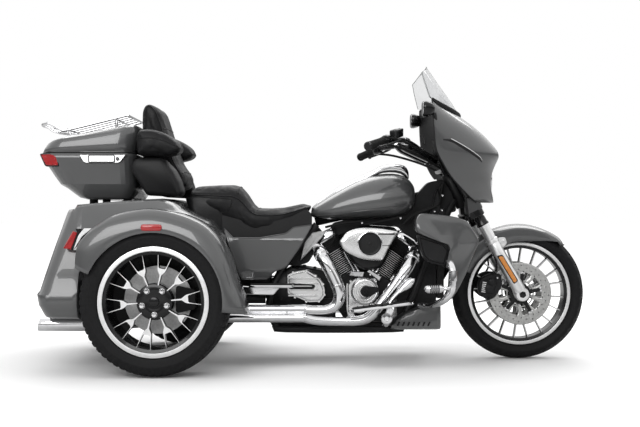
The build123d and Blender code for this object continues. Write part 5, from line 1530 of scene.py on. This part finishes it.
control = Form()
side_x = Vector((out.y, -out.x, 0)).normalized()
control.skin([[start + out * a + Vector((0, 0, sin(t) * tall)) + side_x * (cos(t) * wide) for t in around(24)]
              for a, tall, wide in (
                  (-26, 16, 16), (-22, 24, 22), (-8, 27, 25), (8, 27, 25), (17, 24, 22), (20, 20, 19))])
for a, tall in ((-12, 6), (4, 8)):
    place = start + out * a + Vector((0, 0, 18)) - side_x * 14
    control.skin([[place + out * (cos(t) * 7) + Vector((0, 0, sin(t) * 5)) - side_x * rise
                   for t in around(12)] for rise in (0, tall, tall + 2)])
reservoir = start - out * 34 + Vector((34, 0, 26))


def reservoir_ring(z, share=1.0):
    """Level ring of the brake reservoir."""
    return [reservoir + out * (signed(cos(t), 0.5) * share * 34) + Vector((0, 0, z))
            + side_x * (signed(sin(t), 0.5) * share * 24) for t in around(24)]


control.skin([reservoir_ring(z) for z in (-16, 8, 12)])
control.mirror().made("controls", "black_gloss", "hand_controls", "steering", smooth=40)
lids = Form()
lids.skin([reservoir_ring(z, share) for z, share in ((12, 1.0), (17, 1.0), (20, 0.94), (21, 0.5))])
lids.bolts([reservoir + out * a + Vector((0, 0, 19)) for a in (-26, 26)], (0, 0, 1), 3, 3)
clamp_at = start - out * 58
lids.turn([(15, 0), (19, 2), (19, 22), (15, 24)], clamp_at, -out, 28)
lever_path = [start + Vector((46, 20, 2)), start + Vector((62, -10, 2)),
              start + out * 40 + Vector((66, 0, 0)), start + out * 100 + Vector((58, 0, -2)),
              start + out * 152 + Vector((52, 0, -2)), start + out * 166 + Vector((58, 0, -2))]
lids.pipe(lever_path, [9, 10, 8, 7, 7, 8], 14, smooth=4, scale=(1, 1, 0.7))
lids.mirror().made("levers_hand", "black_satin", body="steering", smooth=44)
clamp_ring = Form().turn([(14, 0), (18.5, 1), (18.5, 40), (14, 41)], (448, -176, 1045.5),
                         Vector((-24, -38, 4)), 28)
clamp_ring.mirror().made("bar_rings", "chrome", body="steering", smooth=40)

mirrors = Form()
face = curve([(0, 0), (14, 10), (44, 16), (80, 12), (98, -4), (96, -34), (84, -52), (50, -58), (14, -50),
              (0, -30)], 3)
head = Vector((528, -318, 1186))


def mirror_ring(depth, share):
    """Ring of the mirror's outline at a depth ahead of its middle."""
    return [head + Vector((depth, -(y - 48) * share, (z + 21) * share)) for y, z in face]


mirrors.skin([mirror_ring(depth, share) for depth, share in (
    (-20, 0.94), (-16, 1.0), (-6, 1.0), (14, 0.86), (28, 0.6), (34, 0.3))])
mirrors.pipe([(560, -326, 1166), (566, -312, 1140), (572, -296, 1104), (580, -286, 1064)], [10, 9, 9, 11],
             14, smooth=4)
mirrors.mirror().made("mirror_shells", "black_gloss", "mirrors", "steering", smooth=50)
glass = Form()
glass.skin([mirror_ring(depth, 0.88) for depth in (-21, -22.5)])
glass.mirror().made("mirror_glass", "chrome", body="steering", smooth=30)

# ---------------------------------------------------------------- side covers, dash and trunk door
cover_top = [(-420, 640), (-375, 592), (-248, 592), (-126, 612), (-90, 641), (-3, 652)]
cover_low = [(-420, 632), (-335, 397), (-212, 397), (-184, 432), (-126, 454), (-61, 548), (-3, 650)]


def cover_point(t, v):
    """Side cover's face: upright up to its crease, then leaning in under the seat."""
    x = 417 * t - 420
    low, high = mixed(cover_low, x)[1], mixed(cover_top, x)[1]
    z = low + (high - low) * v
    return Vector((x, 0.5 * max(0.0, z - 586) + 0.15 * max(0.0, 440 - z) - 207, z))


cover = grid(cover_point, spaced(50), spaced(30)).mirror()
cover.made("side_cover_shells", "paint", "side_covers", solid=3, smooth=24)
hem = [cover_point(t, 0) for t in spaced(30, 0.01, 0.99)]
hem += [cover_point(t, 1) for t in spaced(30, 0.99, 0.01)]
Form().pipe(hem + hem[:1], 2.6, 8, smooth=1).mirror().made("side_cover_hems", "paint_shade")

wall = surface(nodes["fairing_inner"])


def on_dash(y, z):
    """Where the inner fairing's rear face is."""
    hit = wall.ray_cast(Vector((300, y, z)), Vector((1, 0, 0)))[0]
    return (hit.x if hit else 575, y, z)


dials, faces, marks = Form(), Form(), Form()
for y, z, r in ((-58, 1128, 41), (58, 1128, 41), (-138, 1112, 27), (138, 1112, 27)):
    at = Vector(on_dash(y, z))
    dials.turn([(r - 4, -8), (r + 3, -8), (r + 4, 5), (r + 1, 10), (r - 3, 10), (r - 4, 5)], at, (-1, 0, 0),
               48, closed=True)
    faces.turn([(r - 4, -6), (r - 4, 3), (r - 8, 3.6), (0.5, 3.8)], at, (-1, 0, 0), 40)
    for k in range(9):
        a = radians(-120 + 30 * k)
        spoke = Vector((0, sin(a), cos(a)))
        marks.rod(at + spoke * (r - 13) - Vector((3.6, 0, 0)), at + spoke * (r - 8) - Vector((3.6, 0, 0)),
                  0.9, steps=6)
    a = radians(-100)
    marks.rod(at - Vector((5, 0, 0)), at + Vector((-5, sin(a) * (r - 14), cos(a) * (r - 14))), 1.2, 0.7, 8)
    marks.turn([(4, 0), (4, 3), (0.5, 4)], at - Vector((3.6, 0, 0)), (-1, 0, 0), 20)
dials.made("dial_rings", "chrome", body="steering", smooth=40)
faces.made("dial_faces", "black_gloss", body="steering", smooth=40)
marks.made("dial_marks", "lens_white", body="steering", smooth=50)
panel = Form()
at = Vector(on_dash(0, 1026))
panel.layers(rounded(oblong(-92, 92, 978, 1074), 12), ((-12, 0), (7, 0), (9, 2), (9, 9), (6, 11)),
             lambda p, out: (at.x - out, p.x, p.y))
panel.made("dash_screen", "black_gloss", body="steering", smooth=40)
speakers = Form()
for y in (-208, 208):
    at = Vector(on_dash(y, 1016))
    speakers.turn([(66, -10), (66, 4), (62, 9), (57, 7), (54, 3), (0.5, 5)], at, (-1, 0, 0), 56)
    for r in range(8, 54, 7):
        speakers.turn([(r, 2), (r + 3.4, 2), (r + 3.4, 7), (r, 7)], at, (-1, 0, 0), 48, closed=True)
speakers.made("dash_speakers", "plastic", body="steering", smooth=40)

DOOR_LEAN = 0.318


def on_door(y, z, out=0.0):
    """Point on the trunk door's outer face, or out from it."""
    turn = hypot(1, DOOR_LEAN)
    return Vector((DOOR_LEAN * (z - 370) - 1223 - out / turn, y, z + out * DOOR_LEAN / turn))


plate = Form().layers(rounded(oblong(-128, 128, 488, 640), 16, 5),
                      ((-2, 0), (5, 0), (7, 2), (7, 9), (1.5, 11)), lambda p, out: on_door(p.x, p.y, out))
plate.made("door_panel", "plastic", body="trunk_door", smooth=40)
trim = Form().layers(rounded(oblong(-300, 300, 404, 412), 3), ((-1, 0), (2, 0), (3.5, 1.2)),
                     lambda p, out: on_door(p.x, p.y, out))
trim.pipe([on_door(-96, 662, -2), on_door(-92, 663, 22), on_door(0, 664, 26), on_door(92, 663, 22),
           on_door(96, 662, -2)], [8, 8, 7, 8, 8], 16, smooth=5)
turn = on_door(0, 0, 1) - on_door(0, 0)
trim.turn([(12, -1), (12, 3), (10, 4.5), (4, 4.5), (3.5, 3), (0.5, 3)], on_door(150, 664), turn, 32)
for y in (-70, 70):
    trim.turn([(7, 1), (7, 4), (5, 6), (2.6, 6), (2.4, 3), (0.5, 3)], on_door(y, 560, 0), turn, 24)
trim.made("door_trim", "chrome", body="trunk_door", smooth=40)
hinges = Form()
for y in (-230, 170):
    for k in range(3):
        hinges.turn([(7.6, 0), (8.2, 0.8), (8.2, 18.2), (7.6, 19)], (-1223, y + 20.3 * k, 377), (0, 1, 0), 24)
    hinges.turn([(3.4, 0), (4.6, 1), (4.6, 3), (0.5, 4)], (-1223, y + 60, 377), (0, 1, 0), 16)
hinges.made("door_hinges", "black_satin", body="trunk_door", smooth=40)

# ---------------------------------------------------------------- stage, light, camera
scene.view_settings.view_transform = "Standard"


def backdrop():
    """White to camera and glass rays, dark about the horizon to mirror rays, a plain level for lighting."""
    world = bpy.data.worlds.new("studio")
    scene.world = world
    world.use_nodes = True
    tree = world.node_tree
    tree.nodes.clear()
    path = shader_node(tree, "LightPath").outputs
    direct = shader_node(tree, "Math", "MAXIMUM", _0=path["Is Camera Ray"],
                         _1=path["Is Transmission Ray"]).outputs[0]
    seen = shader_node(tree, "Math", "MAXIMUM", _0=direct, _1=path["Is Glossy Ray"]).outputs[0]
    place = shader_node(tree, "TexCoord").outputs["Generated"]
    height = shader_node(tree, "SeparateXYZ", _0=place).outputs["Z"]
    share = shader_node(tree, "MapRange", Value=height, From_Min=-1.0).outputs["Result"]
    ramp = shader_node(tree, "ValToRGB", Fac=share)
    levels = [(0.0, 0.8), (0.46, 0.8), (0.485, 0.2), (0.53, 0.14), (0.575, 0.3), (0.605, 0.9), (0.68, 1.0),
              (1.0, 1.0)]
    while len(ramp.color_ramp.elements) < len(levels):
        ramp.color_ramp.elements.new(0.5)
    for element, (at, level) in zip(ramp.color_ramp.elements, levels):
        element.position = at
        element.color = (level, level, level, 1)
    shown = shader_node(tree, "MixRGB", Fac=direct, Color1=ramp.outputs["Color"], Color2=(1, 1, 1, 1))
    white = shader_node(tree, "Background", Color=shown.outputs["Color"], Strength=1.0)
    soft = shader_node(tree, "Background", Color=(1, 1, 1, 1), Strength=0.45)
    mix = shader_node(tree, "MixShader", Fac=seen, _1=soft.outputs[0], _2=white.outputs[0])
    shader_node(tree, "OutputWorld", Surface=mix.outputs[0])


def floor():
    """Pale floor that keeps the shadow and meets the backdrop in white further out."""
    mesh = bpy.data.meshes.new("floor")
    mesh.from_pydata([(-60, -60, 0), (60, -60, 0), (60, 60, 0), (-60, 60, 0)], [], [(0, 1, 2, 3)])
    plane = bpy.data.objects.new("floor", mesh)
    scene.collection.objects.link(plane)
    made, tree, shader = new_material("floor")
    path = shader_node(tree, "LightPath").outputs
    tone = shader_node(tree, "MixRGB", Fac=path["Is Glossy Ray"], Color1=(0.90, 0.90, 0.90, 1),
                       Color2=(0.6, 0.6, 0.6, 1))
    mirrored = shader_node(tree, "Math", "MULTIPLY", _0=path["Is Glossy Ray"], _1=0.35).outputs[0]
    direct = shader_node(tree, "Math", "MAXIMUM", _0=path["Is Camera Ray"], _1=mirrored).outputs[0]
    seen = shader_node(tree, "Math", "MAXIMUM", _0=direct, _1=path["Is Transmission Ray"]).outputs[0]
    place = shader_node(tree, "TexCoord").outputs["Object"]
    reach = shader_node(tree, "VectorMath", "LENGTH", _0=place).outputs["Value"]
    far = shader_node(tree, "MapRange", Value=reach, From_Min=0.9, From_Max=4.2, To_Min=0.02, To_Max=0.75)
    level = shader_node(tree, "Math", "MULTIPLY", _0=seen, _1=far.outputs["Result"])
    fill(tree, shader, Roughness=0.9, Specular_IOR_Level=0.0, Base_Color=tone.outputs["Color"],
         Emission_Color=(1, 1, 1, 1), Emission_Strength=level.outputs[0])
    mesh.materials.append(made)


def lamp(name, at, aim, size, power, mirrored=True):
    """Soft box aimed at a point, mirrored in gloss or not."""
    data = bpy.data.lights.new(name, "AREA")
    data.shape = "RECTANGLE"
    data.size, data.size_y = size
    data.energy = power
    made = bpy.data.objects.new(name, data)
    scene.collection.objects.link(made)
    made.location = at
    made.visible_camera = made.visible_transmission = False
    made.visible_glossy = mirrored
    made.rotation_euler = (Vector(aim) - Vector(at)).to_track_quat("-Z", "Y").to_euler()


backdrop()
floor()
lamp("top", (0.2, -0.4, 3.6), (0, 0, 0.4), (4.5, 2.2), 60, False)
lamp("side", (-1.4, -4.2, 2.4), (0, 0, 0.5), (3.4, 1.8), 90)
lamp("other_side", (1.6, 3.8, 2.2), (0, 0, 0.6), (3.0, 1.6), 40, False)
lamp("crest", (0, 3.0, 4.2), (0, 0, 0.6), (7.0, 2.2), 125)
view = bpy.data.cameras.new("camera")
view.sensor_width = 36.0
view.lens = 59.6
camera = bpy.data.objects.new("camera", view)
camera.location = (0.035, -5.19, 0.706)
camera.rotation_euler = (radians(90), 0, 0)
scene.collection.objects.link(camera)
scene.camera = camera
